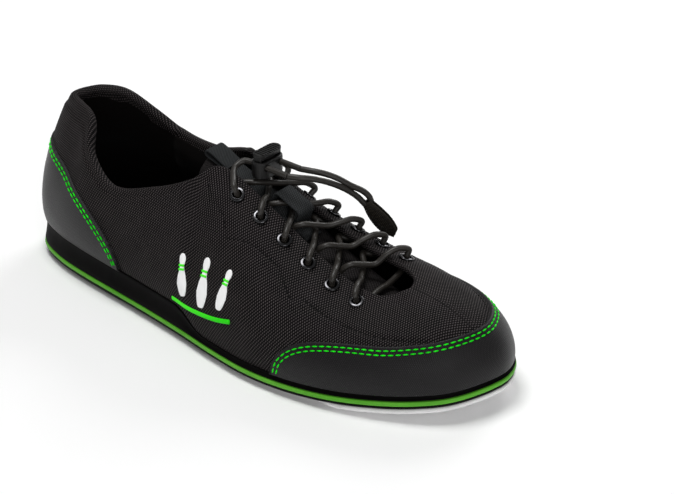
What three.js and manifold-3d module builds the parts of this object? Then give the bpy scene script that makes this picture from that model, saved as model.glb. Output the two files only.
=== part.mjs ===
// Bowling shoe, right foot: slide sole, moulded midsole, layered mesh upper, elastic lacing with a
// cord lock and a pull tab. Millimetres, +X to the toe, +Y to the wearer's left (inner side), +Z up.
import * as THREE from "three";
import Module from "manifold-3d";
import { mergeVertices } from "three/addons/utils/BufferGeometryUtils.js";

const wasm = await Module();
wasm.setup();

// ---------------------------------------------------------------- driving dimensions
const LENGTH = 300; // outsole, heel to toe
const WIDTH = 107; // outsole at the ball of the foot
const COLLAR_HEIGHT = 91; // back of the collar above the floor
const GAP = 0.3; // between pieces that touch

const PAD_FROM = 0.5; // the slide pad starts at this share of the length
const HEEL_PAD_TO = 0.26;
const SHANK = { from: 45, to: 120, half: 8, y: -3, thick: 1.2 };
const SLIDE_PAD = 2.4; // microfibre slide pad and rubber heel pad
const OUTSOLE = 1.4;
const WELT = 2.6; // coloured layer between outsole and midsole
const HEEL_WALL = 14.2; // midsole side wall at the heel
const TOE_WALL = 3; // midsole side wall under the forefoot
const TOE_SPRING = 9.5; // rise of the sole at the toe
const INSOLE_BOARD = 1.5;
const SOCK_LINER = 4;

const MESH = 1.1; // outer mesh of the upper
const OVERLAY = 1; // toe cap and heel overlay
const STIFFENER = 0.8; // eyestays, heel counter, toe puff
const LINING = 0.7;
const COLLAR_FOAM = 3.6;
const TONGUE_SHELL = 0.9;
const TONGUE_FOAM = 3;
const TONGUE_LINING = 0.6;
const WEBBING = 1.2;
const WEBBING_WIDTH = 12;

const LACE = 3.2; // diameter of the elastic lace
const LACE_PLAY = 0.7; // between the lace and an eyelet's bore, all round
const EYELET_TUBE = 0.5; // wall of an eyelet's barrel
const EYELET_RIM = 1.2; // how far its flange reaches past the barrel
const EYELETS = 6; // pairs
const EYELET_FIRST = 147.5; // top pair, measured from the heel
const EYELET_PITCH = 15.9;
const EYELET_MARGIN = 9.5; // from the throat's edge to an eyelet's centre

const LOCK = { length: 10, width: 19, wall: 1.3, travel: 2, head: 2, spacing: 10.4 };
const LOCK_SLIDE = 12; // how far the lock can run along the straight lace
const STEM = { length: 5, width: 15.4 };
const SPRING = { radius: 1.25, wire: 0.28, turns: 4 };
const TAB = { length: 25, width: 13.5, leaf: 1.1 };

// The upper's and sole's drawing, one row per station, heel to toe down the outer side and back up
// the inner side: outline x, y | opening x, y, z | how far the wall leaves the sole outwards and
// upwards | how far it leaves the opening outwards and downwards.
const DRAWN = { length: 300, width: 107, collar: 91, lace: 3.2 };
const STATIONS = [
  [0, 0, 16, 0, 91, 4.5, 20, 12, 22],
  [3, -13, 19, -6, 91, 4.5, 20, 11, 22],
  [12, -24, 28, -10, 91, 4.5, 19, 12, 24],
  [30, -31.5, 40, -14, 87.5, 4.5, 17, 12, 26],
  [50, -35.5, 49, -24, 73, 4, 14, 7, 20],
  [78, -39, 70, -29, 61, 4, 13, 5, 13],
  [106, -42.5, 98, -26, 69, 4, 17, 8, 16],
  [133, -46.5, 119, -21, 79, 4, 22, 10, 18],
  [158, -51, 133, -10, 87.5, 4, 24, 18, 14],
  [183, -54, 161, -8, 75.5, 4, 24, 21, 10],
  [208, -53, 188, -8, 61.5, 3.5, 24, 20, 8],
  [233, -48.5, 213, -8.3, 51, 3, 24, 18, 7],
  [256, -40.5, 232, -8, 48, 2.5, 24, 16, 5],
  [276, -30, 240, -4, 49, 2, 24, 18, 2],
  [291, -16, 244, 0, 51, 1.5, 24, 22, 0],
  [300, 8, 245.5, 4.5, 51.5, 1.5, 24, 24, 0],
  [296.5, 25, 244, 9, 52, 1.5, 24, 22, 0],
  [284, 38.5, 241, 13, 52.5, 2, 25, 20, 0],
  [262, 47.5, 233, 16, 53.5, 3, 26, 19, 1],
  [235, 52, 213, 16.3, 56.5, 3, 26, 20, 3],
  [208, 50, 188, 16.5, 62.5, 3, 26, 19, 5],
  [180, 43.5, 161, 17, 72.5, 3.5, 26, 16, 9],
  [152, 36, 133, 18, 85, 4, 25, 14, 14],
  [126, 32, 118, 25, 80, 4, 22, 8, 18],
  [100, 31, 97, 29.5, 71.5, 4, 18, 6, 16],
  [75, 32.5, 73, 31.5, 70.5, 4, 15, 5, 15],
  [50, 33.5, 53, 26, 82, 4, 17, 8, 22],
  [30, 31, 41, 17.5, 93, 4.5, 19, 11, 28],
  [12, 24, 29, 11.5, 94.5, 4.5, 20, 12, 26],
  [3, 13, 20, 6, 92.5, 4.5, 20, 11, 22],
];
const COUNT = STATIONS.length;
const SX = LENGTH / DRAWN.length;
const SY = WIDTH / DRAWN.width;
const SZ = COLLAR_HEIGHT / DRAWN.collar;

// ---------------------------------------------------------------- helpers
const mix = (a, b, k) => a + (b - a) * k;
const clamp = (v, lo = 0, hi = 1) => Math.min(hi, Math.max(lo, v));
const smooth = (v) => clamp(v) ** 2 * (3 - 2 * clamp(v));
const vec = (x, y, z) => new THREE.Vector3(x, y, z);

// smooth curve through rows of numbers, closed or open, at a fractional row number
function through(rows, at, closed) {
  const n = rows.length;
  const pick = (i) => rows[closed ? ((i % n) + n) % n : clamp(i, 0, n - 1)];
  const i = closed ? Math.floor(at) : clamp(Math.floor(at), 0, n - 2);
  const f = at - i;
  const [a, b, c, d] = [pick(i - 1), pick(i), pick(i + 1), pick(i + 2)];
  return b.map((_, k) => {
    const bend = (2 * a[k] - 5 * b[k] + 4 * c[k] - d[k]) * f * f;
    const twist = (3 * b[k] - a[k] - 3 * c[k] + d[k]) * f * f * f;
    return 0.5 * (2 * b[k] + (c[k] - a[k]) * f + bend + twist);
  });
}

const station = (u) => through(STATIONS, u, true);

// sole outline moved inwards by a distance, as a point in plan
function outline(u, inset = 0) {
  const [x, y] = station(u);
  const [ax, ay] = station(u - 0.05);
  const [bx, by] = station(u + 0.05);
  const t = new THREE.Vector2((bx - ax) * SX, (by - ay) * SY).normalize();
  return new THREE.Vector2(x * SX - t.y * inset, y * SY + t.x * inset);
}

const springStart = 0.63 * LENGTH;
const spring = (x) => TOE_SPRING * clamp((x - springStart) / (LENGTH - springStart), 0, 2) ** 2;
const OUTSOLE_BOTTOM = SLIDE_PAD + GAP;
const WELT_BOTTOM = OUTSOLE_BOTTOM + OUTSOLE + GAP;
const MIDSOLE_BOTTOM = WELT_BOTTOM + WELT + GAP;
const wedgeEnd = 0.5 * LENGTH;
const wedgeFade = 0.075 * LENGTH;
// the midsole is a wedge under the heel and arch that runs out just behind the ball
function midsoleWall(x) {
  const wedge = mix(HEEL_WALL, HEEL_WALL * 0.84, clamp(x / wedgeEnd));
  return mix(wedge, TOE_WALL, smooth((x - wedgeEnd + wedgeFade) / wedgeFade));
}
const footbed = (x) => MIDSOLE_BOTTOM + midsoleWall(x) + spring(x);

const FEATHER = 2.2; // the upper meets the sole this far inside its outline
// outer face of the upper: t = 0 on the sole, t = 1 on the edge of the opening
function skin(u, t) {
  const [, , ox, oy, oz, out1, up1, out2, down2] = station(u);
  const foot = outline(u, FEATHER);
  const edge = outline(u, 0);
  const away = edge.clone().sub(foot).normalize();
  const p0 = vec(foot.x, foot.y, footbed(foot.x));
  const p3 = vec(ox * SX, oy * SY, oz * SZ);
  const p1 = vec(p0.x + away.x * out1, p0.y + away.y * out1, p0.z + up1);
  const lean = new THREE.Vector2(p0.x - p3.x, p0.y - p3.y).normalize();
  const p2 = vec(p3.x + lean.x * out2, p3.y + lean.y * out2, p3.z - down2);
  return new THREE.CubicBezierCurve3(p0, p1, p2, p3).getPoint(clamp(t));
}

function skinNormal(u, t) {
  const du = skin(u + 0.04, t).sub(skin(u - 0.04, t));
  const dt = skin(u, Math.min(t + 0.02, 1)).sub(skin(u, Math.max(t - 0.02, 0)));
  return du.cross(dt).normalize();
}

// the upper's layers share one grid of facets, so that they stay parallel
const GRID_U = 2 * COUNT;
const GRID_T = 8;
const grid = Array.from({ length: GRID_U }, (_, i) => Array.from({ length: GRID_T + 1 }, (_, j) => {
  const [u, t] = [(i * COUNT) / GRID_U, j / GRID_T];
  return { at: skin(u, t), out: skinNormal(u, t) };
}));

function under(u, t, depth) {
  const a = ((u / COUNT) % 1 + 1) % 1 * GRID_U;
  const b = clamp(t) * GRID_T;
  const [i, j] = [Math.floor(a + 1e-9), Math.min(Math.floor(b + 1e-9), GRID_T - 1)];
  const [f, g] = [Math.max(a - i, 0), b - j];
  const corner = (di, dj) => {
    const { at, out } = grid[(i + di) % GRID_U][j + dj];
    return at.clone().addScaledVector(out, -depth);
  };
  const low = corner(0, 0).lerp(corner(1, 0), f);
  return low.lerp(corner(0, 1).lerp(corner(1, 1), f), g);
}

// ---------------------------------------------------------------- solids
function solid(points, faces) {
  const geometry = new THREE.BufferGeometry();
  const places = points.flatMap((p) => [p.x, p.y, p.z]);
  geometry.setAttribute("position", new THREE.Float32BufferAttribute(places, 3));
  geometry.setIndex(faces.flat());
  const volume = faces.reduce((sum, [a, b, c]) => {
    return sum + points[a].dot(points[b].clone().cross(points[c]));
  }, 0);
  if (volume < 0) geometry.setIndex(faces.map(([a, b, c]) => [a, c, b]).flat());
  return geometry;
}

// closed solid between two grids of points; a ring grid joins its last row to its first
function between(outer, inner, ring = false) {
  const rows = outer.length;
  const cols = outer[0].length;
  const points = [...outer.flat(), ...inner.flat()];
  const top = (i, j) => (i % rows) * cols + j;
  const low = (i, j) => rows * cols + top(i, j);
  const faces = [];
  const quad = (a, b, c, d) => faces.push([a, b, c], [a, c, d]);
  const last = ring ? rows : rows - 1;
  for (let i = 0; i < last; i++) {
    for (let j = 0; j < cols - 1; j++) {
      quad(top(i, j), top(i + 1, j), top(i + 1, j + 1), top(i, j + 1));
      quad(low(i, j), low(i, j + 1), low(i + 1, j + 1), low(i + 1, j));
    }
    quad(top(i, 0), low(i, 0), low(i + 1, 0), top(i + 1, 0));
    quad(top(i, cols - 1), top(i + 1, cols - 1), low(i + 1, cols - 1), low(i, cols - 1));
  }
  for (const [i, flip] of ring ? [] : [[0, true], [rows - 1, false]]) {
    for (let j = 0; j < cols - 1; j++) {
      const four = [top(i, j), low(i, j), low(i, j + 1), top(i, j + 1)];
      quad(...(flip ? four.reverse() : four));
    }
  }
  return solid(points, faces);
}

const steps = (from, to, n) => Array.from({ length: n + 1 }, (_, i) => mix(from, to, i / n));

// the grid lines between two bounds, with the bounds
function lines(from, to, pitch) {
  const inner = [];
  for (let k = Math.ceil(from / pitch + 0.2); k * pitch < to - 0.2 * pitch; k++) inner.push(k * pitch);
  return [from, ...inner, to];
}

// a layer of the upper: u and t between bounds, between two depths under the outer face
function layer({ u, t, depth }) {
  const ring = u[1] - u[0] >= COUNT;
  const us = lines(u[0], u[1], COUNT / GRID_U);
  if (ring) us.pop();
  const ts = lines(t[0], t[1], 1 / GRID_T);
  const sheet = (d) => us.map((a) => ts.map((b) => under(a, b, d(a, b))));
  return between(sheet(depth[0]), sheet(depth[1]), ring);
}

// the part of a layer that lies below a free edge
function below(geometry, u, edge) {
  const us = lines(u[0] - 0.2, u[1] + 0.2, COUNT / GRID_U);
  const sheet = (depth) => us.map((a) => {
    const b = edge(clamp(a, u[0], u[1]));
    return [skin(a, 0).addScaledVector(skinNormal(a, 0), -depth).add(vec(0, 0, -8)),
      ...[0.5, 1].map((k) => skin(a, b * k).addScaledVector(skinNormal(a, b * k), -depth))];
  });
  return asGeometry(asSolid(geometry).intersect(asSolid(between(sheet(-5), sheet(5)))));
}

// rows across the sole as shares of its length, closer at the round ends and under the wedge's end
const SOLE_ROWS = [
  ...steps(0, 1, 24).map((k) => mix(0.002, 0.998, 0.5 - 0.5 * Math.cos(Math.PI * k))),
  ...steps(0.42, 0.52, 9),
].sort((a, b) => a - b);

// inner and outer side of the inset sole at a share of its length
function soleSpan(inset) {
  const loop = steps(0, COUNT, 240).map((u) => outline(u, inset(u)));
  const xs = loop.map((p) => p.x);
  const [low, high] = [Math.min(...xs), Math.max(...xs)];
  return (share) => {
    const x = mix(low, high, share);
    const hits = [];
    for (let i = 0; i < loop.length - 1; i++) {
      const [a, b] = [loop[i], loop[i + 1]];
      if ((a.x - x) * (b.x - x) < 0) hits.push(mix(a.y, b.y, (x - a.x) / (b.x - a.x)));
    }
    return { x, y: [Math.min(...hits), Math.max(...hits)] };
  };
}

// a layer of the sole between two shares of its length, as levels of inset and height
function soleLayer(levels, from = 0, to = 1) {
  const shares = SOLE_ROWS.filter((s) => s > from + 0.006 && s < to - 0.006);
  const ends = [Math.max(from, SOLE_ROWS[0]), Math.min(to, SOLE_ROWS[SOLE_ROWS.length - 1])];
  const rows = [ends[0], ...shares, ends[1]];
  const n = 2 * rows.length;
  const points = levels.flatMap(({ inset, span, z }) => {
    const at = rows.map(span ?? soleSpan(typeof inset === "function" ? inset : () => inset));
    const right = at.map(({ x, y }) => vec(x, y[0], z(x)));
    const left = at.map(({ x, y }) => vec(x, y[1], z(x)));
    return [...right, ...left.reverse()];
  });
  const faces = [];
  const quad = (a, b, c, d) => faces.push([a, b, c], [a, c, d]);
  for (let l = 0; l < levels.length - 1; l++) {
    for (let i = 0; i < n; i++) {
      const j = (i + 1) % n;
      quad(l * n + i, l * n + j, (l + 1) * n + j, (l + 1) * n + i);
    }
  }
  const top = (levels.length - 1) * n;
  for (let i = 0; i < rows.length - 1; i++) {
    quad(i + 1, i, n - 1 - i, n - 2 - i);
    quad(top + i, top + i + 1, top + n - 2 - i, top + n - 1 - i);
  }
  return solid(points, faces);
}

function asSolid(geometry) {
  const bare = geometry.clone();
  bare.deleteAttribute("normal");
  bare.deleteAttribute("uv");
  const merged = mergeVertices(bare, 1e-5);
  const triVerts = new Uint32Array(merged.index.array);
  const vertProperties = new Float32Array(merged.attributes.position.array);
  return new wasm.Manifold(new wasm.Mesh({ numProp: 3, vertProperties, triVerts }));
}

function asGeometry(body) {
  const { vertProperties, triVerts } = body.getMesh();
  const geometry = new THREE.BufferGeometry();
  geometry.setAttribute("position", new THREE.BufferAttribute(new Float32Array(vertProperties), 3));
  geometry.setIndex(new THREE.BufferAttribute(new Uint32Array(triVerts), 1));
  return geometry;
}

const cut = (geometry, tools) => {
  return asGeometry(tools.reduce((body, tool) => body.subtract(asSolid(tool)), asSolid(geometry)));
};

const box = (w, d, h, x, y, z) => new THREE.BoxGeometry(w, d, h).translate(x, y, z);
const rod = (radius, length, sides = 16) => new THREE.CylinderGeometry(radius, radius, length, sides);

// a round tube along a smooth curve through the given points
function tube(points, radius, sides, count) {
  const circle = new THREE.Shape();
  circle.absarc(0, 0, radius, 0, 2 * Math.PI);
  const extrudePath = new THREE.CatmullRomCurve3(points, false, "centripetal");
  const ring = new THREE.Shape(circle.getPoints(sides).slice(0, sides));
  return new THREE.ExtrudeGeometry(ring, { steps: count, extrudePath, bevelEnabled: false });
}

const shoe = new THREE.Group();
const finish = (color, roughness, metalness = 0) => {
  return new THREE.MeshStandardMaterial({ color, roughness, metalness });
};
const MESH_CLOTH = finish("#252324", 0.9);
const WOVEN = finish("#2f2c2f", 0.85);
const LINING_CLOTH = finish("#151012", 0.95);
const FOAM = finish("#3b3a38", 1);
const BOARD = finish("#6b6257", 0.9);
const RUBBER = finish("#151312", 0.7);
const GREEN = finish("#6cb93c", 0.55);
const MICROFIBRE = finish("#f2f0f2", 0.85);
const PLASTIC = finish("#1d1c1c", 0.45);
const LACE_CORD = finish("#35322e", 0.6);
const BLACK_METAL = finish("#2a2a2c", 0.3, 0.9);
const STEEL = finish("#9a9a9a", 0.35, 1);

function add(name, geometry, material) {
  const mesh = new THREE.Mesh(geometry, material);
  mesh.name = name;
  shoe.add(mesh);
  return mesh;
}
const flat = (depth) => () => depth;

// ---------------------------------------------------------------- sole
const WAIST_INSET = 4; // the slide pad stays this far inside the outsole behind the ball
const rise = (h) => (x) => h + spring(x);

function sole() {
  const padInset = (u) => {
    const s = Math.min(u, COUNT - u);
    return mix(WAIST_INSET, 0.4, smooth((s - 10.7) / 0.6));
  };
  add("slide_pad", soleLayer([
    { inset: padInset, z: rise(0) },
    { inset: padInset, z: rise(SLIDE_PAD) },
  ], PAD_FROM), MICROFIBRE);
  add("heel_pad", soleLayer([
    { inset: 3.2, z: flat(0) },
    { inset: 2.6, z: flat(SLIDE_PAD) },
  ], 0, HEEL_PAD_TO), RUBBER);
  add("outsole", soleLayer([
    { inset: 0.8, z: rise(OUTSOLE_BOTTOM) },
    { inset: 0.6, z: rise(OUTSOLE_BOTTOM + OUTSOLE) },
  ]), RUBBER);
  add("welt", soleLayer([
    { inset: 0.5, z: rise(WELT_BOTTOM) },
    { inset: 0, z: rise(WELT_BOTTOM + WELT / 2) },
    { inset: 0.5, z: rise(WELT_BOTTOM + WELT) },
  ]), GREEN);
  const wall = (k) => (x) => MIDSOLE_BOTTOM + midsoleWall(x) * k + spring(x);
  const midsole = soleLayer([
    { inset: 0.4, z: wall(0) },
    { inset: 1.3, z: wall(0.3) },
    { inset: 1.9, z: wall(0.65) },
    { inset: 1.5, z: wall(1) },
  ]);
  const strip = (half) => (share) => ({ x: share * LENGTH, y: [SHANK.y - half, SHANK.y + half] });
  const pocket = soleLayer([
    { span: strip(SHANK.half + GAP), z: (x) => footbed(x) - SHANK.thick - GAP },
    { span: strip(SHANK.half + GAP), z: (x) => footbed(x) + 5 },
  ], (SHANK.from - GAP) / LENGTH, (SHANK.to + GAP) / LENGTH);
  add("midsole", cut(midsole, [pocket]), RUBBER);
  add("shank", soleLayer([
    { span: strip(SHANK.half), z: (x) => footbed(x) - SHANK.thick },
    { span: strip(SHANK.half), z: footbed },
  ], SHANK.from / LENGTH, SHANK.to / LENGTH), PLASTIC);
  const inside = FEATHER + MESH + STIFFENER + LINING + 4 * GAP + 0.6;
  const board = (h) => (x) => footbed(x) + GAP + h;
  add("insole_board", soleLayer([
    { inset: inside, z: board(0) },
    { inset: inside, z: board(INSOLE_BOARD) },
  ]), BOARD);
  const linerBottom = INSOLE_BOARD + GAP;
  add("sock_liner", soleLayer([
    { inset: inside + 0.4, z: board(linerBottom) },
    { inset: inside + 0.2, z: board(linerBottom + SOCK_LINER * 0.7) },
    { inset: inside + 1.4, z: board(linerBottom + SOCK_LINER) },
  ]), LINING_CLOTH);
}
// ---------------------------------------------------------------- eyelets
const LATERAL = 1;
const MEDIAL = -1;
const sideStation = (side, u) => (side === LATERAL ? u : COUNT - u);

// t of the point that lies a distance below the opening's edge
function belowEdge(u, distance) {
  let length = 0;
  let t = 1;
  let last = skin(u, 1);
  while (length < distance && t > 0) {
    t -= 0.005;
    const next = skin(u, t);
    length += next.distanceTo(last);
    last = next;
  }
  return t;
}

function eyeletAt(side, row) {
  const x = (EYELET_FIRST + EYELET_PITCH * row) * SX;
  let [low, high] = [7.2, 13];
  for (let i = 0; i < 24; i++) {
    const mid = (low + high) / 2;
    const u = sideStation(side, mid);
    if (skin(u, belowEdge(u, EYELET_MARGIN)).x < x) low = mid;
    else high = mid;
  }
  const u = sideStation(side, (low + high) / 2);
  const t = belowEdge(u, EYELET_MARGIN);
  return { u, t, at: skin(u, t), out: skinNormal(u, t), edge: skin(u, 1), edgeOut: skinNormal(u, 1) };
}
const rowsOf = (side) => Array.from({ length: EYELETS }, (_, row) => eyeletAt(side, row));
const lateralHoles = rowsOf(LATERAL);
const medialHoles = rowsOf(MEDIAL);

const STACK = MESH + STIFFENER + LINING + 2 * GAP; // thickness of an eyestay, all layers
const BORE = LACE / 2 + LACE_PLAY;
const BARREL = BORE + EYELET_TUBE;
const up = vec(0, 1, 0);

function along(geometry, hole) {
  const turn = new THREE.Quaternion().setFromUnitVectors(up, hole.out);
  return geometry.applyQuaternion(turn).translate(hole.at.x, hole.at.y, hole.at.z);
}

function eyelets() {
  const flange = BARREL + EYELET_RIM;
  const low = -STACK - GAP;
  const profile = [
    [BORE, low - 0.5],
    [BARREL, low - 0.5],
    [BARREL, GAP],
    [flange, GAP],
    [mix(BARREL, flange, 0.5), GAP + 0.9],
    [BORE, GAP + 0.5],
    [BORE, low - 0.5],
  ].map(([r, h]) => new THREE.Vector2(r, h));
  for (const [word, holes] of [["lateral", lateralHoles], ["medial", medialHoles]]) {
    holes.forEach((hole, i) => {
      add(`eyelet_${word}_${i + 1}`, along(new THREE.LatheGeometry(profile, 10), hole), BLACK_METAL);
    });
  }
}

const punch = (holes) => holes.map((hole) => along(rod(BARREL + GAP + 0.15, 14, 10), hole));

// ---------------------------------------------------------------- upper
// share of full padding at a place on the upper: the collar is padded, the vamp is not
function padding(u, t) {
  const fromHeel = Math.min(u, COUNT - u);
  const along = 1 - smooth((fromHeel - 5.6) / 1.6);
  return along * smooth((t - 0.42) / 0.25) * (1 - 0.45 * smooth((t - 0.8) / 0.2));
}
const LINING_DEPTH = MESH + STIFFENER + 2 * GAP;
const liningTop = (u, t) => LINING_DEPTH + (COLLAR_FOAM + GAP) * padding(u, t);

// height of an overlay's edge, rising from the sole in a quarter round and then running level
const quarter = (v) => Math.sqrt(1 - (1 - clamp(v)) ** 2);
const CAP = { start: 9.74, rise: 2.2, level: 0.4 };
function capEdge(u) {
  const s = Math.min(u, COUNT - u);
  return 0.01 + CAP.level * quarter((s - CAP.start) / CAP.rise);
}
const HEEL = { end: 5.15, rise: 1.5, level: 0.6, back: 0.64 };
function heelEdge(u) {
  const s = Math.abs(u);
  return 0.01 + mix(HEEL.back, HEEL.level, clamp(s / 3)) * quarter((HEEL.end - s) / HEEL.rise);
}

// everything of the upper is trimmed level with the top of the midsole, a gap above it
function bed() {
  return soleLayer([
    { inset: -OVERLAY - 4, z: flat(-5) },
    { inset: -OVERLAY - 4, z: (x) => footbed(x) + GAP },
  ]);
}

function upper() {
  const lasted = (geometry, holes = []) => cut(geometry, [bed(), ...holes]);
  const holes = punch([...lateralHoles, ...medialHoles]);
  const mesh = layer({ u: [0, COUNT], t: [0, 1], depth: [flat(0), flat(MESH)] });
  add("mesh_upper", lasted(mesh, holes), MESH_CLOTH);

  const over = [flat(-GAP - OVERLAY), flat(-GAP)];
  const capSpan = [CAP.start, COUNT - CAP.start];
  const cap = layer({ u: capSpan, t: [0, 0.5], depth: over });
  add("toe_cap", lasted(below(cap, capSpan, capEdge)), WOVEN);
  const heelSpan = [-HEEL.end, HEEL.end];
  const heel = layer({ u: heelSpan, t: [0, 0.75], depth: over });
  add("heel_overlay", lasted(below(heel, heelSpan, heelEdge)), WOVEN);

  const inner = [flat(MESH + GAP), flat(MESH + GAP + STIFFENER)];
  add("heel_counter", lasted(layer({ u: [-4.5, 4.5], t: [0, 0.5], depth: inner })), PLASTIC);
  add("toe_puff", lasted(layer({ u: [12, 18], t: [0, 0.375], depth: inner })), PLASTIC);
  const stay = (u, punched) => cut(layer({ u, t: [0.625, 0.985], depth: inner }), punched);
  add("eyestay_lateral", stay([8, 12.5], punch(lateralHoles)), WOVEN);
  add("eyestay_medial", stay([COUNT - 12.5, COUNT - 8], punch(medialHoles)), WOVEN);

  add("collar_foam", layer({
    u: [-6, 6],
    t: [0.6, 0.97],
    depth: [flat(LINING_DEPTH), (u, t) => Math.max(liningTop(u, t) - GAP, LINING_DEPTH + 0.25)],
  }), FOAM);
  const lining = [liningTop, (u, t) => liningTop(u, t) + LINING];
  const vamp = layer({ u: [7.55, COUNT - 7.55], t: [0, 1], depth: lining });
  add("vamp_lining", lasted(vamp, holes), LINING_CLOTH);
  add("quarter_lining", lasted(layer({ u: [-7.5, 7.5], t: [0, 1], depth: lining })), LINING_CLOTH);
}

// ---------------------------------------------------------------- tongue
const TONGUE_CROWN = 7; // its sides lie this far below its middle
const TONGUE_HALF = [14, 16, 18, 18, 18, 17, 14.5, 12]; // half width, front to top
const TONGUE_SIDE = MESH + STIFFENER + COLLAR_FOAM + LINING + 3 * GAP;
const TONGUE_LINE = [
  [250, 4.4, 40.5], [233, 4.2, 41.5], [210, 4, 47], [187, 4, 55.4],
  [165, 4, 65], [143, 4, 74.2], [126, 3, 81], [114, 3, 84.5],
];

function tongue(p, q, height = 0) {
  const at = (v) => through(TONGUE_LINE, v * (TONGUE_LINE.length - 1), false);
  const [x, y, z] = at(p);
  const [x2, , z2] = at(p + 0.01);
  const [half] = through(TONGUE_HALF.map((h) => [h]), p * (TONGUE_HALF.length - 1), false);
  const lift = new THREE.Vector2(-(z2 - z) * SZ, (x2 - x) * SX).normalize();
  if (lift.y < 0) lift.negate();
  // the layers beside the tongue keep their thickness, and the lace between them needs its room
  const reach = (half + TONGUE_SIDE) * SY - TONGUE_SIDE;
  const fall = LACE - DRAWN.lace;
  const tilt = -2 * TONGUE_CROWN * q / half;
  const out = vec(lift.x, -tilt * lift.y, lift.y).normalize();
  const point = vec(x * SX, y * SY + reach * q, z * SZ - fall - TONGUE_CROWN * q * q);
  return point.addScaledVector(out, height);
}

function tongueLayer(top, bottom, trim, np = 11, nq = 4) {
  const grid = (h) => steps(trim, 1 - trim, np).map((p) => {
    return steps(-1 + trim, 1 - trim, nq).map((q) => tongue(p, q, h));
  });
  return between(grid(top), grid(bottom));
}

// a band of webbing along the tongue's middle: [p, height above the tongue] pairs, walked there
function band(profile, thickness, half) {
  const line = profile.map(([p, h]) => tongue(p, 0, h));
  const grid = (side) => line.map((at, i) => {
    const a = line[Math.max(i - 1, 0)];
    const b = line[Math.min(i + 1, line.length - 1)];
    const n = vec(-(b.z - a.z), 0, b.x - a.x).normalize().multiplyScalar(side * thickness / 2);
    return [-half, half].map((y) => at.clone().add(n).add(vec(0, y, 0)));
  });
  return between(grid(1), grid(-1));
}

const LACE_LOW = WEBBING + 3 * GAP + LACE / 2; // lower lace where two cross, above the tongue
const LACE_HIGH = LACE_LOW + LACE + 2 * GAP;

function tongueParts() {
  const foamTop = -TONGUE_SHELL - GAP;
  const liningAt = foamTop - TONGUE_FOAM - GAP;
  add("tongue_shell", tongueLayer(0, -TONGUE_SHELL, 0), WOVEN);
  add("tongue_foam", tongueLayer(foamTop, foamTop - TONGUE_FOAM, 0.02), FOAM);
  add("tongue_lining", tongueLayer(liningAt, liningAt - TONGUE_LINING, 0), LINING_CLOTH);
  const low = GAP + WEBBING / 2;
  const turn = 3.4;
  add("pull_loop", band([
    [0.46, low], [0.55, low], [0.64, low], [0.73, low], [0.82, low], [0.9, low], [0.98, low + 0.3],
    [1.01, low + turn * 0.5], [0.98, low + turn], [0.92, low + turn * 0.9],
    [0.87, low + turn * 0.6], [0.83, low + WEBBING + GAP + 0.1],
  ], WEBBING, WEBBING_WIDTH / 2 * SY), WOVEN);

  const share = tongueShareAt(keeperAt());
  const lean = tongue(share, 0, 1).x - tongue(share, 0).x; // the tongue's normal leans forward
  const middle = keeperAt() - lean * (LACE_LOW + LACE_HIGH) / 2;
  const arch = LACE_HIGH + LACE / 2 + 5 * GAP + WEBBING / 2;
  const foot = low + WEBBING + GAP;
  const hump = [
    [-10, foot], [-8.6, foot], [-8.2, arch * 0.6], [-7.2, arch], [7.2, arch],
    [8.2, arch * 0.6], [8.6, foot], [10, foot],
  ].reverse().map(([dx, h]) => [tongueShareAt(middle + dx * SX), h]);
  add("lace_keeper", band(hump, WEBBING, WEBBING_WIDTH / 2 * SY), WOVEN);
}

// the laces from the second and third pairs cross inside the keeper
const KEEPER_ROW = 1;
function keeperAt() {
  const four = [lateralHoles, medialHoles].flatMap((holes) => [holes[KEEPER_ROW], holes[KEEPER_ROW + 1]]);
  return four.reduce((sum, hole) => sum + hole.edge.x, 0) / four.length;
}

// ---------------------------------------------------------------- lacing
const LOCK_AT = vec(149.5, 6, 89.5);
const lockAt = vec(LOCK_AT.x * SX, LOCK_AT.y * SY, LOCK_AT.z * SZ);
const laceY = (side) => lockAt.y - side * LOCK.spacing / 2;
const straightEnd = lockAt.x + LOCK.length / 2 + LOCK_SLIDE + 1;
const LACE_UNDER = STACK + GAP + LACE / 2 + 0.2; // lace centre below the skin, under a flap

// from on top of an eyelet across the throat to the underside of the opposite eyelet
function crossing(from, to, height) {
  const middle = from.edge.clone().add(to.edge).multiplyScalar(0.5);
  const heading = to.edge.clone().sub(from.edge).setZ(0).normalize();
  const cross = [-7 * SY, 0, 7 * SY].map((s) => {
    const at = middle.clone().addScaledVector(heading, s);
    const share = tongueShareAt(at.x);
    const low = tongue(share, 0);
    const lift = tongue(share, 0, 1).z - low.z; // less than 1 where the tongue slopes
    return at.setZ(low.z + height / lift);
  });
  const over = LACE / 2 + GAP + 0.5;
  const start = from.at.clone().addScaledVector(from.out, LACE * 1.5);
  const shoulder = from.at.clone().lerp(from.edge, 0.6).addScaledVector(from.out, LACE * 1.6);
  const lip = from.edge.clone().addScaledVector(from.edgeOut, over).lerp(cross[0], 0.15);
  lip.z += 0.6;
  const tuck = to.edge.clone().addScaledVector(to.edgeOut, -LACE_UNDER - 0.4).lerp(cross[2], 0.1);
  const inside = to.at.clone().lerp(to.edge, 0.4).addScaledVector(to.out, -LACE_UNDER - 0.6);
  return [start, shoulder, lip, ...cross, tuck, inside];
}

function tongueShareAt(x) {
  let [low, high] = [0, 1];
  for (let i = 0; i < 24; i++) {
    const mid = (low + high) / 2;
    if (tongue(mid, 0).x > x) low = mid;
    else high = mid;
  }
  return (low + high) / 2;
}

// straight through an eyelet's bore, from below or from above
function throughEyelet(hole, upwards) {
  const low = hole.at.clone().addScaledVector(hole.out, -STACK - 1.9);
  const high = hole.at.clone().addScaledVector(hole.out, LACE * 0.6);
  return upwards ? [low, high] : [high, low];
}

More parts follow.
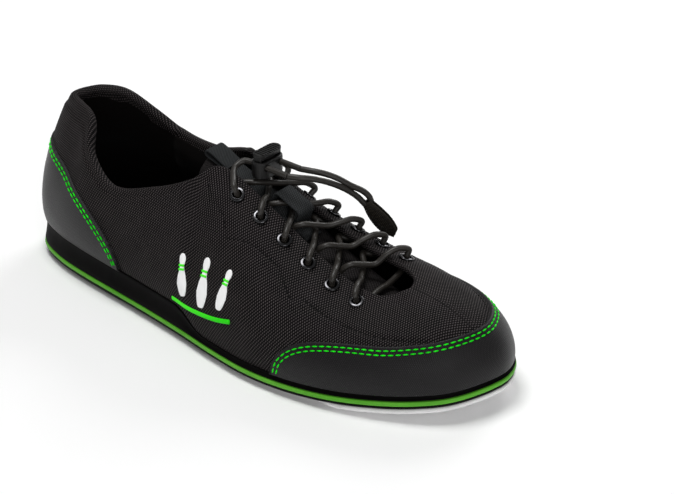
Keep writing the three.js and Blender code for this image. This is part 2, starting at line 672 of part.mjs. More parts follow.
function toLock(hole, side) {
  const y = laceY(side);
  const entry = lockAt.x - LOCK.length / 2;
  const rise = hole.at.clone().addScaledVector(hole.out, LACE * 1.8).add(vec(-2, side * 1.2, 0.5));
  const bend = vec(entry - 7, mix(hole.at.y, y, 0.62), mix(hole.at.z, lockAt.z, 0.8));
  const turn = vec(entry - 5, mix(hole.at.y, y, 0.93), lockAt.z);
  const straight = [-1.5, 6, 14, 20, straightEnd - entry].map((s) => vec(entry + s, y, lockAt.z));
  return [rise, bend, turn, ...straight];
}

// one half of the lace, from the lock down to the last eyelet, always into the other side's eyelet
function laceHalf(side) {
  const holes = side === LATERAL ? [lateralHoles, medialHoles] : [medialHoles, lateralHoles];
  const route = toLock(holes[0][0], side).reverse();
  for (let row = 0; row < EYELETS; row++) {
    const hole = holes[row % 2][row];
    route.push(...throughEyelet(hole, false));
    if (row === EYELETS - 1) break;
    const next = holes[(row + 1) % 2][row + 1];
    const above = (side === LATERAL) === (row % 2 === 0);
    route.push(...crossing(next, hole, above ? LACE_HIGH : LACE_LOW).reverse());
  }
  return route;
}

function laces() {
  const down = laceHalf(LATERAL);
  const back = laceHalf(MEDIAL).reverse();
  const [a, b] = [medialHoles[EYELETS - 1], lateralHoles[EYELETS - 1]];
  const bar = [0.34, 0.5, 0.66].map((k) => {
    const middle = a.at.clone().lerp(b.at, k);
    const share = tongueShareAt(middle.x);
    const across = mix(0.55, -0.55, k);
    return tongue(share, across, LACE / 2 + GAP + 0.6);
  });
  const route = [...down, ...bar, ...back];
  add("lace", tube(route, LACE / 2, 6, 200), LACE_CORD);
}

// ---------------------------------------------------------------- cord lock
const boreRadius = LACE / 2 + 0.35;
const bodyTop = boreRadius + LOCK.wall;
const stemLow = -(LACE / 2 + GAP) - 0.8;
const pocketLow = stemLow - LOCK.travel - GAP;
const bodyLow = pocketLow - LOCK.wall;
const laceBores = (radius, length) => [-1, 1].map((s) => {
  return rod(radius, length, 12).rotateZ(Math.PI / 2).translate(0, s * LOCK.spacing / 2, 0);
});

function stadium(length, width, height, low) {
  const shape = new THREE.Shape();
  const r = length / 2;
  const reach = width / 2 - r;
  shape.absarc(0, reach, r, 0, Math.PI);
  shape.absarc(0, -reach, r, Math.PI, 2 * Math.PI);
  const outline2d = new THREE.Shape(shape.getPoints(7));
  return new THREE.ExtrudeGeometry(outline2d, { depth: height, bevelEnabled: false }).translate(0, 0, low);
}

function cordLock() {
  const place = (geometry) => geometry.translate(lockAt.x, lockAt.y, lockAt.z);
  const block = stadium(LOCK.length, LOCK.width, bodyTop - bodyLow, bodyLow);
  const pocketTop = bodyTop + 5;
  const pocket = box(STEM.length + 2 * GAP, STEM.width + 2 * GAP, pocketTop - pocketLow,
    0, 0, (pocketTop + pocketLow) / 2);
  add("lock_body", place(cut(block, [pocket, ...laceBores(boreRadius, LOCK.length + 4)])), PLASTIC);

  const headLow = bodyTop + LOCK.travel + GAP;
  const stem = box(STEM.length, STEM.width, headLow + 0.5 - stemLow, 0, 0, (headLow + 0.5 + stemLow) / 2);
  const head = stadium(LOCK.length - 2.5, LOCK.width - 1, LOCK.head, headLow);
  const button = asGeometry(asSolid(stem).add(asSolid(head)));
  const slot = LACE / 2 + GAP;
  const slots = [-1, 1].map((s) => {
    return box(STEM.length + 2, 2 * slot, 2 * slot + LOCK.travel, 0, s * LOCK.spacing / 2, LOCK.travel / 2);
  });
  const seat = SPRING.radius + SPRING.wire + GAP;
  const seatTop = headLow - 0.8;
  const socket = rod(seat, seatTop - stemLow + 2, 14).rotateX(Math.PI / 2)
    .translate(0, 0, (seatTop + stemLow - 2) / 2);
  add("lock_button", place(cut(button, [...slots, socket])), PLASTIC);

  const springLow = pocketLow + GAP + SPRING.wire;
  const springTop = seatTop - GAP - SPRING.wire;
  const coil = steps(0, 1, SPRING.turns * 8).map((k) => {
    const angle = 2 * Math.PI * SPRING.turns * k;
    const turn = vec(Math.cos(angle), Math.sin(angle), 0).multiplyScalar(SPRING.radius);
    return turn.setZ(mix(springLow, springTop, k));
  });
  add("lock_spring", place(tube(coil, SPRING.wire, 4, SPRING.turns * 8)), STEEL);
}

// ---------------------------------------------------------------- tails and pull tab
// free ends of the lace beyond the lock, points chosen by hand, from the straight lace to the tab
const TAIL_NEAR = [
  [168.5, 0.8, 89.5], [173, 3.4, 89.4], [178, 8.6, 88.2], [182.6, 15.2, 85.2],
  [187, 22, 80.6], [190, 26.8, 76.2], [191.9, 29.2, 73.2],
];
const TAIL_FAR = [
  [168.5, 11.2, 89.5], [173.5, 12.9, 89.6], [178.6, 16.2, 88.6], [183.6, 20.8, 85.8],
  [188.6, 25.8, 81.2], [193, 31, 77], [195.6, 33.6, 74.2],
];
const TAB_TOP = vec(194.2, 32.2, 71.2);
const TAB_TIP = vec(204.6, 40.6, 52.4);

function tails() {
  for (const [name, points, side] of [["tail_near", TAIL_NEAR, LATERAL], ["tail_far", TAIL_FAR, MEDIAL]]) {
    const apart = side * (LACE - DRAWN.lace * SY); // the pair keeps its gap
    const route = points.map(([x, y, z]) => vec(x * SX, y * SY - apart, z * SZ));
    route[0] = vec(straightEnd + GAP, laceY(side), lockAt.z);
    add(name, tube(route, LACE / 2, 8, 16), LACE_CORD);
  }
}

// two leaves of woven cloth sewn round the lace ends, a long drop shape
function pullTab() {
  const top = vec(TAB_TOP.x * SX, TAB_TOP.y * SY, TAB_TOP.z * SZ);
  const tip = vec(TAB_TIP.x * SX, TAB_TIP.y * SY, TAB_TIP.z * SZ);
  const down = tip.clone().sub(top).normalize();
  const face = vec(-0.15, -0.93, 0.2); // which way the leaves face
  const side = face.clone().cross(down).normalize();
  const out = down.clone().cross(side).normalize();
  const frame = new THREE.Matrix4().makeBasis(down, side, out).setPosition(top);
  const half = TAB.width / 2;
  const drop = new THREE.Shape();
  drop.moveTo(0, -half * 0.5);
  drop.quadraticCurveTo(TAB.length * 0.3, -half * 0.9, TAB.length * 0.6, -half);
  drop.bezierCurveTo(TAB.length * 0.9, -half, TAB.length, -half * 0.6, TAB.length, 0);
  drop.bezierCurveTo(TAB.length, half * 0.6, TAB.length * 0.9, half, TAB.length * 0.6, half);
  drop.quadraticCurveTo(TAB.length * 0.3, half * 0.9, 0, half * 0.5);
  const leaf = (low) => {
    const geometry = new THREE.ExtrudeGeometry(new THREE.Shape(drop.getPoints(5)), {
      depth: TAB.leaf, bevelEnabled: false,
    });
    return geometry.translate(0, 0, low).applyMatrix4(frame);
  };
  add("tab_front", leaf(GAP / 2), WOVEN);
  add("tab_back", leaf(-GAP / 2 - TAB.leaf), WOVEN);
}

sole();
upper();
eyelets();
tongueParts();
laces();
cordLock();
tails();
pullTab();

// the origin lies on the floor under the middle of the shoe
const bounds = new THREE.Box3().setFromObject(shoe, true);
const centre = bounds.getCenter(vec(0, 0, 0));
shoe.position.set(-centre.x, -centre.y, -bounds.min.z);

export default shoe;
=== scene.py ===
# %% [markdown]
# # A bowling shoe, right foot
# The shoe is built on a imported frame: named solids, each riding on a rigid body. Every visible piece
# gets a finer twin here, made from the same curves, and a material. Lengths in the formulas are
# millimetres, as on a shoemaker's drawing, and one function turns them to metres in the frame.

import math

import bmesh
import bpy
import numpy as np
from mathutils import Matrix, Vector


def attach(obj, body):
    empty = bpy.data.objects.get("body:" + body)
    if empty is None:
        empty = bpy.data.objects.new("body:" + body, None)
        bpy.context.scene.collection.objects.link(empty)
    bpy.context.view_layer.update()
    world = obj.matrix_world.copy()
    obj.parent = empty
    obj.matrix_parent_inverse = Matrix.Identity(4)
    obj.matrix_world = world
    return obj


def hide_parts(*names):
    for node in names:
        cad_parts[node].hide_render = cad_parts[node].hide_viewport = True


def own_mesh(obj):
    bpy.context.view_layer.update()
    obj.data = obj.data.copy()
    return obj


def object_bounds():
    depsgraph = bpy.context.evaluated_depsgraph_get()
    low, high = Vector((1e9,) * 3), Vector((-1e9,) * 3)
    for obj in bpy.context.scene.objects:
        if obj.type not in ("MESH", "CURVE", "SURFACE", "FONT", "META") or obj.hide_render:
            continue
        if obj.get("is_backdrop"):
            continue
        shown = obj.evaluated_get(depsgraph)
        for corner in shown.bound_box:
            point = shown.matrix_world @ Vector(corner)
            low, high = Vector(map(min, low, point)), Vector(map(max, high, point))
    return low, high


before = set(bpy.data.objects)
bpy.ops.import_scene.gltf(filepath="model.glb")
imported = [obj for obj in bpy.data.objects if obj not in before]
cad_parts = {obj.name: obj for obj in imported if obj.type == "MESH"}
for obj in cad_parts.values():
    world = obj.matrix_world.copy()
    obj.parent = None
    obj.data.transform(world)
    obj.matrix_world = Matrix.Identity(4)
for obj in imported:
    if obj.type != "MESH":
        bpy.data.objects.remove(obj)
cad_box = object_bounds()

# %% [markdown]
# ## The drawing
# A shoe has almost no straight line, so it is drawn as stations round the sole, from the heel down
# the outer side to the toe and back up the inner side. Each station gives the sole's outline, the
# edge of the foot opening, and how the wall leaves each of them. A smooth curve runs through the
# rows, so any place on the upper is two numbers: u round the shoe and t from sole to opening.

# %% Driving dimensions and stations
ORIGIN = (149.546243, -1.094952)  # the frame's origin on the drawing
LENGTH = 300
SLIDE_PAD, OUTSOLE, WELT, GAP = 2.4, 1.4, 2.6, 0.3
HEEL_WALL, TOE_WALL, TOE_SPRING = 14.2, 3, 9.5
FEATHER, MESH, OVERLAY, STIFFENER, LINING = 2.2, 1.1, 1, 0.8, 0.7
COLLAR_FOAM = 3.6
STATIONS = np.array([
    [0, 0, 16, 0, 91, 4.5, 20, 12, 22], [3, -13, 19, -6, 91, 4.5, 20, 11, 22],
    [12, -24, 28, -10, 91, 4.5, 19, 12, 24], [30, -31.5, 40, -14, 87.5, 4.5, 17, 12, 26],
    [50, -35.5, 49, -24, 73, 4, 14, 7, 20], [78, -39, 70, -29, 61, 4, 13, 5, 13],
    [106, -42.5, 98, -26, 69, 4, 17, 8, 16], [133, -46.5, 119, -21, 79, 4, 22, 10, 18],
    [158, -51, 133, -10, 87.5, 4, 24, 18, 14], [183, -54, 161, -8, 75.5, 4, 24, 21, 10],
    [208, -53, 188, -8, 61.5, 3.5, 24, 20, 8], [233, -48.5, 213, -8.3, 51, 3, 24, 18, 7],
    [256, -40.5, 232, -8, 48, 2.5, 24, 16, 5], [276, -30, 240, -4, 49, 2, 24, 18, 2],
    [291, -16, 244, 0, 51, 1.5, 24, 22, 0], [300, 8, 245.5, 4.5, 51.5, 1.5, 24, 24, 0],
    [296.5, 25, 244, 9, 52, 1.5, 24, 22, 0], [284, 38.5, 241, 13, 52.5, 2, 25, 20, 0],
    [262, 47.5, 233, 16, 53.5, 3, 26, 19, 1], [235, 52, 213, 16.3, 56.5, 3, 26, 20, 3],
    [208, 50, 188, 16.5, 62.5, 3, 26, 19, 5], [180, 43.5, 161, 17, 72.5, 3.5, 26, 16, 9],
    [152, 36, 133, 18, 85, 4, 25, 14, 14], [126, 32, 118, 25, 80, 4, 22, 8, 18],
    [100, 31, 97, 29.5, 71.5, 4, 18, 6, 16], [75, 32.5, 73, 31.5, 70.5, 4, 15, 5, 15],
    [50, 33.5, 53, 26, 82, 4, 17, 8, 22], [30, 31, 41, 17.5, 93, 4.5, 19, 11, 28],
    [12, 24, 29, 11.5, 94.5, 4.5, 20, 12, 26], [3, 13, 20, 6, 92.5, 4.5, 20, 11, 22],
])
COUNT = len(STATIONS)
TOE = COUNT / 2
print(COUNT, "stations")

# %% Small sums on arrays
def mix(a, b, k):
    return a + (b - a) * k


def clamp(v, low=0.0, high=1.0):
    return np.clip(v, low, high)


def smooth(v):
    v = clamp(v)
    return v * v * (3 - 2 * v)


def unit(v):
    return v / np.maximum(np.linalg.norm(v, axis=-1, keepdims=True), 1e-12)


def stack(*parts):
    return np.stack(np.broadcast_arrays(*[np.asarray(p, float) for p in parts]), -1)


def eased(v):
    """Shares from 0 to 1 that lie closer together at both ends."""
    return 0.5 - 0.5 * np.cos(np.pi * v)


def run_along(points):
    """Length run along a line, at each of its points."""
    return np.concatenate([[0], np.cumsum(np.linalg.norm(np.diff(points, axis=0), axis=1))])


def from_heel(u):
    """Stations between u and the heel, the shorter way round."""
    return np.minimum(u % COUNT, COUNT - u % COUNT)


def through(rows, at, closed):
    """Smooth curve through rows of numbers, at fractional row numbers."""
    rows, at = np.asarray(rows, float), np.asarray(at, float)
    n = len(rows)
    i = np.floor(at).astype(int) if closed else np.clip(np.floor(at), 0, n - 2).astype(int)
    f = (at - i)[..., None]
    a, b, c, d = [
        rows[(i + k) % n if closed else np.clip(i + k, 0, n - 1)] for k in (-1, 0, 1, 2)
    ]
    bend = (2 * a - 5 * b + 4 * c - d) * f**2
    twist = (3 * b - a - 3 * c + d) * f**3
    return 0.5 * (2 * b + (c - a) * f + bend + twist)


# %% The sole's outline and heights
def outline(u, inset=0.0):
    p, a, b = [through(STATIONS[:, :2], u + k, True) for k in (0, -0.05, 0.05)]
    t = unit(b - a)
    inset = np.asarray(inset, float)
    return stack(p[..., 0] - t[..., 1] * inset, p[..., 1] + t[..., 0] * inset)


def spring(x):
    start = 0.63 * LENGTH
    return TOE_SPRING * clamp((x - start) / (LENGTH - start), 0, 2) ** 2


OUTSOLE_BOTTOM = SLIDE_PAD + GAP
WELT_BOTTOM = OUTSOLE_BOTTOM + OUTSOLE + GAP
MIDSOLE_BOTTOM = WELT_BOTTOM + WELT + GAP


def midsole_wall(x):
    wedge = mix(HEEL_WALL, HEEL_WALL * 0.84, clamp(x / 150))
    return mix(wedge, TOE_WALL, smooth((x - 127.5) / 22.5))


def footbed(x):
    return MIDSOLE_BOTTOM + midsole_wall(x) + spring(x)


print("footbed at heel and toe", footbed(0), footbed(300))

# %% The upper's skin
def skin(u, t):
    """Outer face of the upper: t = 0 on the sole, t = 1 on the edge of the opening."""
    u, t = np.broadcast_arrays(np.asarray(u, float), np.asarray(t, float))
    s = through(STATIONS, u, True)
    foot, edge = outline(u, FEATHER), outline(u)
    away = unit(edge - foot)
    p0 = stack(foot[..., 0], foot[..., 1], footbed(foot[..., 0]))
    p3 = s[..., 2:5]
    p1 = p0 + stack(away[..., 0] * s[..., 5], away[..., 1] * s[..., 5], s[..., 6])
    lean = unit(p0[..., :2] - p3[..., :2])
    p2 = p3 + stack(lean[..., 0] * s[..., 7], lean[..., 1] * s[..., 7], -s[..., 8])
    t = clamp(t)[..., None]
    r = 1 - t
    return p0 * r**3 + 3 * p1 * r * r * t + 3 * p2 * r * t * t + p3 * t**3


def skin_out(u, t):
    du = skin(u + 0.04, t) - skin(u - 0.04, t)
    dt = skin(u, clamp(t + 0.02)) - skin(u, clamp(t - 0.02))
    return unit(np.cross(du, dt))


def deep(u, t, depth):
    """A place below the outer face."""
    return skin(u, t) - skin_out(u, t) * np.asarray(depth, float)[..., None]


print("outwards at the ball", skin_out(9.0, 0.4).round(2))

# %% [markdown]
# ## From numbers to meshes
# Almost every piece is a sheet that is bent into place: a bmesh grid gets its vertices moved by a
# formula, its doubles merged where it closes, and a UV map in metres, so a weave has its true size.

# %% Grid to sheet
def metres(points):
    return (np.asarray(points, float) - (ORIGIN[0], ORIGIN[1], 0)) / 1000


def mesh_object(bm, name, material, body="shoe", nodes=(), slot=None, smooth_faces=True):
    mesh = bpy.data.meshes.new(name)
    for face in bm.faces:
        face.smooth = smooth_faces
    bm.to_mesh(mesh)
    bm.free()
    mesh.materials.append(material)
    piece = bpy.data.objects.new(name, mesh)
    bpy.context.collection.objects.link(piece)
    if body:
        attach(piece, body)
    if nodes:
        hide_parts(*nodes)
    return piece


def bend_grid(across, along, place, measure=None, keep=None, merge=1e-6):
    """A grid of squares with its vertices moved to place(a, b), a and b from 0 to 1."""
    bm = bmesh.new()
    bmesh.ops.create_grid(bm, x_segments=across, y_segments=along, size=0.5)
    bm.verts.ensure_lookup_table()
    ab = np.array([v.co[:2] for v in bm.verts]) + 0.5
    points = metres(place(ab[:, 0], ab[:, 1]))
    uv = ab if measure is None else np.asarray(measure(ab[:, 0], ab[:, 1])) / 1000
    layer = bm.loops.layers.uv.new("cloth")
    for face in bm.faces:
        for loop in face.loops:
            loop[layer].uv = uv[loop.vert.index]
    for v, p in zip(bm.verts, points):
        v.co = p
    if keep is not None:
        kept = keep(ab[:, 0], ab[:, 1])
        bmesh.ops.delete(bm, geom=[v for v in bm.verts if not kept[v.index]], context="VERTS")
    if merge:
        bmesh.ops.remove_doubles(bm, verts=bm.verts, dist=merge)
        bmesh.ops.dissolve_degenerate(bm, edges=bm.edges, dist=merge)
    return bm


def thicken(piece, wall):
    cloth = piece.modifiers.new("cloth thickness", "SOLIDIFY")
    cloth.thickness, cloth.offset = wall / 1000, -1


def outwards(bm):
    bmesh.ops.recalc_face_normals(bm, faces=bm.faces)
    if bm.calc_volume(signed=True) < 0:
        bmesh.ops.reverse_faces(bm, faces=bm.faces)
    return bm


def closed_piece(bm, *told):
    """A piece whose open ends get a face, and which then faces outwards."""
    bmesh.ops.holes_fill(bm, edges=[e for e in bm.edges if e.is_boundary], sides=0)
    return mesh_object(outwards(bm), *told)

# %% [markdown]
# ## Finishes
# Cloth is drawn by its threads: two crossed waves on the UV map give the weave its colour and its
# bump at the real spacing. Moulded parts get a fine grain from noise on Object coordinates. Each
# colour is a hex value as seen on the object, turned to linear light by one function.

# %% Colours and one node helper
def linear(hex_colour):
    parts = [int(hex_colour[i : i + 2], 16) / 255 for i in (1, 3, 5)]
    return [*(p / 12.92 if p <= 0.04045 else ((p + 0.055) / 1.055) ** 2.4 for p in parts), 1]


def add_node(material, kind, settings=None, links=None):
    """A node with its settings, by property or socket, and links from other nodes' outputs."""
    made = material.node_tree.nodes.new(kind)
    for key, value in (settings or {}).items():
        if isinstance(key, str) and hasattr(made, key):
            setattr(made, key, value)
        else:
            made.inputs[key].default_value = value
    for key, source in (links or {}).items():
        material.node_tree.links.new(source, made.inputs[key])
    return made


def finish_of(name, roughness, **shader):
    """A material with its shader's plain numbers set."""
    material = bpy.data.materials.new(name)
    material.use_nodes = True
    bsdf = material.node_tree.nodes["Principled BSDF"]
    bsdf.inputs["Roughness"].default_value = roughness
    for key, value in shader.items():
        bsdf.inputs[key.replace("_", " ")].default_value = value
    return material, bsdf


def ramp_of(material, source, stops):
    made = add_node(material, "ShaderNodeValToRGB", links={"Fac": source})
    elements = made.color_ramp.elements
    for at, _ in stops[1:-1]:
        elements.new(at)
    for (at, colour), element in zip(stops, elements):
        element.position, element.color = at, linear(colour)
    return made.outputs["Color"]


# %% Woven cloth
def woven(name, across, along, stops, roughness, bump=0.35, staggered=True, sheen=0.0, fuzz=0.12,
        gloss=0.06):
    """Cloth with threads a real distance apart, in millimetres, across and along its UV map."""
    material, bsdf = finish_of(name, roughness, Sheen_Weight=sheen, Sheen_Roughness=0.6,
        Specular_IOR_Level=gloss)
    uv = add_node(material, "ShaderNodeUVMap", {"uv_map": "cloth"})
    parts = add_node(material, "ShaderNodeSeparateXYZ", links={0: uv.outputs["UV"]})
    rows = 0.5 if staggered else 1
    waves = []
    for socket, pitch in ((0, across), (1, along / rows)):
        turned = add_node(material, "ShaderNodeMath",
            {"operation": "MULTIPLY", 1: 2000 * math.pi / pitch},
            {0: parts.outputs[socket]})
        waves.append(add_node(material, "ShaderNodeMath", {"operation": "COSINE"},
            {0: turned.outputs[0]}))
    both = add_node(material, "ShaderNodeMath", {"operation": "MULTIPLY" if staggered else "MAXIMUM"},
        {0: waves[0].outputs[0], 1: waves[1].outputs[0]})
    place = add_node(material, "ShaderNodeTexCoord")
    patches = add_node(material, "ShaderNodeTexNoise", {"Scale": 90, "Detail": 3},
        {"Vector": place.outputs["Object"]})
    fibres = add_node(material, "ShaderNodeTexNoise", {"Scale": 2600, "Detail": 1},
        {"Vector": place.outputs["Object"]})
    level = add_node(material, "ShaderNodeMath", {"operation": "MULTIPLY_ADD", 1: 0.5, 2: 0.44},
        {0: both.outputs[0]})
    rough = add_node(material, "ShaderNodeMath", {"operation": "MULTIPLY_ADD", 1: fuzz},
        {0: patches.outputs["Fac"], 2: level.outputs[0]})
    hairy = add_node(material, "ShaderNodeMath", {"operation": "MULTIPLY_ADD", 1: fuzz},
        {0: fibres.outputs["Fac"], 2: rough.outputs[0]})
    colour = ramp_of(material, hairy.outputs[0], stops)
    material.node_tree.links.new(colour, bsdf.inputs["Base Color"])
    raised = add_node(material, "ShaderNodeBump", {"Strength": bump, "Distance": 0.0004},
        {"Height": hairy.outputs[0]})
    material.node_tree.links.new(raised.outputs["Normal"], bsdf.inputs["Normal"])
    return material


# polyester sandwich mesh: open cells 1.4 mm apart; the colour paints the threads' warm grey shine as a
# painted highlight and the holes dark as painted shade, over the real weave
SANDWICH_MESH = woven("sandwich_mesh", 1.4, 1.25,
    [(0.35, "#020202"), (0.55, "#070606"), (0.74, "#221f20"),
        (1.0, "#565050")], 0.62, bump=0.6, sheen=0.008)
# overlay cloth: densely woven and lightly coated, so its grid of dots is fine and faint
COATED_WEAVE = woven("coated_weave", 0.95, 0.85,
    [(0.35, "#050505"), (0.6, "#0d0c0d"), (0.9, "#242124")], 0.42, bump=0.3, sheen=0.05, gloss=0.2)
# tongue cloth: plain weave with a visible rib
TONGUE_CLOTH = woven("tongue_cloth", 1.3, 1.1,
    [(0.1, "#0b0a0a"), (0.6, "#1c1a1a"), (1.0, "#333030")], 0.7, bump=0.5)
# lining: brushed tricot, near black, that swallows light
TRICOT = woven("brushed_tricot", 0.9, 0.9,
    [(0.1, "#030202"), (1.0, "#0c0807")], 0.95, bump=0.12, sheen=0.01, gloss=0.08)
# grosgrain: the weft makes ribs across the band
GROSGRAIN = woven("grosgrain", 0.9, 0.75,
    [(0.1, "#161617"), (0.6, "#252728"), (1.0, "#3b3d3e")], 0.7, bump=0.3)
# tab cloth: a ribbed weave, so its two leaves show lines where the light grazes them
TAB_CLOTH = woven("tab_cloth", 0.9, 1.5,
    [(0.1, "#12100e"), (0.6, "#292622"), (1.0, "#4a453d")], 0.7, bump=0.5)
# braided elastic: fine slanting strands over a rubber core, with a soft sheen
BRAID = woven("braided_elastic", 0.85, 1.0,
    [(0.1, "#191714"), (0.6, "#24211e"), (1.0, "#38342f")], 0.42, bump=0.1, gloss=0.4)
# embroidery: rayon thread laid side by side, so it shines along the strands
WHITE_RAYON = woven("white_rayon", 60, 0.55,
    [(0.0, "#c9c9cc"), (0.5, "#ececee"), (1.0, "#ffffff")], 0.38, bump=0.3, staggered=False, fuzz=0.05)
GREEN_RAYON = woven("green_rayon", 60, 0.55,
    [(0.0, "#08a800"), (0.5, "#12dc06"), (1.0, "#54ff35")], 0.38, bump=0.3, staggered=False, fuzz=0.05)
print("cloths", len(bpy.data.materials))

# %% Moulded, brushed and enamelled parts
def moulded(name, colour, tint, roughness, grain_mm, bump, **shader):
    """A solid material with a fine cast grain and a faint change of tint."""
    material, bsdf = finish_of(name, roughness, **shader)
    place = add_node(material, "ShaderNodeTexCoord")
    grain = add_node(material, "ShaderNodeTexNoise", {"Scale": 1000 / grain_mm, "Detail": 4},
        {"Vector": place.outputs["Object"]})
    cloud = add_node(material, "ShaderNodeTexNoise", {"Scale": 45, "Detail": 2},
        {"Vector": place.outputs["Object"]})
    both = add_node(material, "ShaderNodeMath", {"operation": "MULTIPLY_ADD", 1: 0.4},
        {0: grain.outputs["Fac"], 2: cloud.outputs["Fac"]})
    colours = ramp_of(material, both.outputs[0], [(0.45, colour), (0.95, tint)])
    material.node_tree.links.new(colours, bsdf.inputs["Base Color"])
    raised = add_node(material, "ShaderNodeBump", {"Strength": bump, "Distance": 0.0002},
        {"Height": grain.outputs["Fac"]})
    material.node_tree.links.new(raised.outputs["Normal"], bsdf.inputs["Normal"])
    return material


# EVA foam midsole: moulded skin, matt black
EVA = moulded("moulded_eva", "#050404", "#090808", 0.6, 0.8, 0.15, Specular_IOR_Level=0.04)
BLACK_RUBBER = moulded("black_rubber", "#060606", "#0d0c0c", 0.5, 0.6, 0.25, Specular_IOR_Level=0.1)
GREEN_RUBBER = moulded("green_rubber", "#4fa222", "#62b433", 0.5, 1.2, 0.12, Specular_IOR_Level=0.2)
# microfibre: short nap, white, slightly soiled by the lane
MICROFIBRE = moulded("white_microfibre", "#f4f3f4", "#dcdadb", 0.9, 0.4, 0.5, Sheen_Weight=0.3)
# eyelets: thin black enamel on metal, so the rims still catch the light as metal does
ENAMEL = moulded("black_enamel", "#3c3c3e", "#545456", 0.2, 0.5, 0.02, Metallic=1.0)
NYLON = moulded("moulded_nylon", "#0d0d0d", "#161515", 0.38, 0.7, 0.2, Specular_IOR_Level=0.3)
BOARD = moulded("fibre_board", "#6b6257", "#7d7364", 0.9, 1.5, 0.4)
FOAM = moulded("open_foam", "#3b3a38", "#4a4946", 1.0, 0.9, 0.7)
SPRING_STEEL = moulded("spring_steel", "#9a9a9a", "#b0b0b0", 0.3, 0.3, 0.1, Metallic=1.0)
GREEN_THREAD = moulded("green_thread", "#00c800", "#14f40e", 0.45, 0.35, 0.3, Specular_IOR_Level=0.15)
BLACK_THREAD = moulded("black_thread", "#040404", "#0c0b0b", 0.7, 0.35, 0.3, Specular_IOR_Level=0.15)
GREY_THREAD = moulded("grey_thread", "#151313", "#2c2928", 0.7, 0.35, 0.3, Specular_IOR_Level=0.2)
print("materials", len(bpy.data.materials))

# %% [markdown]
# ## The sole
# From the floor up: a white slide pad under ball and toe, a heel pad, a thin black outsole, a
# bright green layer and the moulded midsole. Each is a loft: rings that follow the outline at
# their own inset and height, closed over a spine. The rows lie at shares of the length, closer
# together at the round ends.

# %% A loft between rings of the sole
ROWS = 110
SHARES = eased(np.arange(ROWS + 1) / ROWS)


def ring(inset, height, shares, spine=False):
    us = np.linspace(0, COUNT, 1200)
    loop = outline(us, inset(us) if callable(inset) else inset)
    low, high = loop[:, 0].argmin(), loop[:, 0].argmax()
    low = 0 if low > 600 else low
    outer = loop[low : high + 1]
    inner = np.vstack([loop[high:], loop[: low + 1]])[::-1]
    x = mix(loop[low, 0], loop[high, 0], clamp(shares, 0.0004, 0.9996))
    right = np.interp(x, outer[:, 0], outer[:, 1])
    left = np.interp(x, inner[:, 0], inner[:, 1])
    if spine:
        right = left = (right + left) / 2
    z = height(x) if callable(height) else np.full_like(x, height)
    return np.vstack([stack(x, right, z), stack(x, left, z)[::-1]])


def sole_piece(name, levels, material, nodes, slot, part=(0, 1)):
    """levels: (inset, height) from the bottom edge up the wall to the top edge."""
    shares = SHARES[(SHARES > part[0] + 0.004) & (SHARES < part[1] - 0.004)]
    shares = np.concatenate([[part[0]], shares, [part[1]]])
    rings = [ring(*levels[0], shares, True), *[ring(*level, shares) for level in levels]]
    rings.append(ring(*levels[-1], shares, True))
    table = np.array(rings)
    n = table.shape[1]

    def place(a, b):
        i = np.rint(a * n).astype(int) % n
        return table[np.rint(b * (len(rings) - 1)).astype(int), i]

    bm = outwards(bend_grid(n, len(rings) - 1, place, lambda a, b: stack(a * 760, b * 30)))
    open_edges = sum(1 for e in bm.edges if not e.is_manifold)
    print(name, len(bm.faces), "faces,", open_edges, "open edges")
    return mesh_object(bm, name, material, "shoe", nodes, slot)


def above(h):
    return lambda x: h + spring(x)


def rounded(low, high, inset, bulge, k=5):
    """Levels of a wall whose middle stands out by bulge and whose edges are rounded."""
    angles = np.linspace(-1, 1, 2 * k + 1) * math.pi / 2
    return [(inset - bulge * math.cos(a), above(mix(low, high,
        0.5 + 0.5 * math.sin(a)))) for a in angles]


# %% Slide pad, heel pad, outsole and green layer
def pad_inset(u, slack=0.0):
    s = from_heel(u)
    return mix(4, 0.4, smooth((s - 10.7) / 0.6)) + slack


sole_piece("slide_pad_nap", [
    (lambda u: pad_inset(u, 0.5), above(0)), (lambda u: pad_inset(u, 0.1), above(0.35)),
    (lambda u: pad_inset(u), above(1.2)), (lambda u: pad_inset(u, 0.3), above(SLIDE_PAD)),
], MICROFIBRE, ["slide_pad"], "slide", (0.5, 1))
sole_piece("heel_pad_rubber", [
    (3.6, 0), (3.1, 0.3), (2.6, 1.2), (2.9, SLIDE_PAD),
], BLACK_RUBBER, ["heel_pad"], "rubber", (0, 0.26))
sole_piece("outsole_rubber", rounded(OUTSOLE_BOTTOM, OUTSOLE_BOTTOM + OUTSOLE, 1.0, 0.4, 3),
    BLACK_RUBBER, ["outsole"], "rubber")
sole_piece("green_layer", rounded(WELT_BOTTOM, WELT_BOTTOM + WELT, 0.7, 0.7, 4),
    GREEN_RUBBER, ["welt"], "welt")

# %% Midsole with a softly hollowed wall
def wall(k, extra=0.0):
    return lambda x: MIDSOLE_BOTTOM + midsole_wall(x) * k + spring(x) + extra


sole_piece("midsole_wall", [
    (1.0, wall(0)), (0.5, wall(0, 0.25)), (0.4, wall(0.06, 0.3)), (0.9, wall(0.25)), (1.4, wall(0.45)),
    (1.75, wall(0.65)), (1.75, wall(0.85)), (1.55, wall(0.94)), (1.7, wall(1, -0.15)), (2.1, wall(1)),
], EVA, ["midsole"], "rubber")

# %% [markdown]
# The sock liner is a sheet of foam with a brushed cover, a little crowned at its rim. It lies on
# the insole board, and its edge rounds down to the lining.

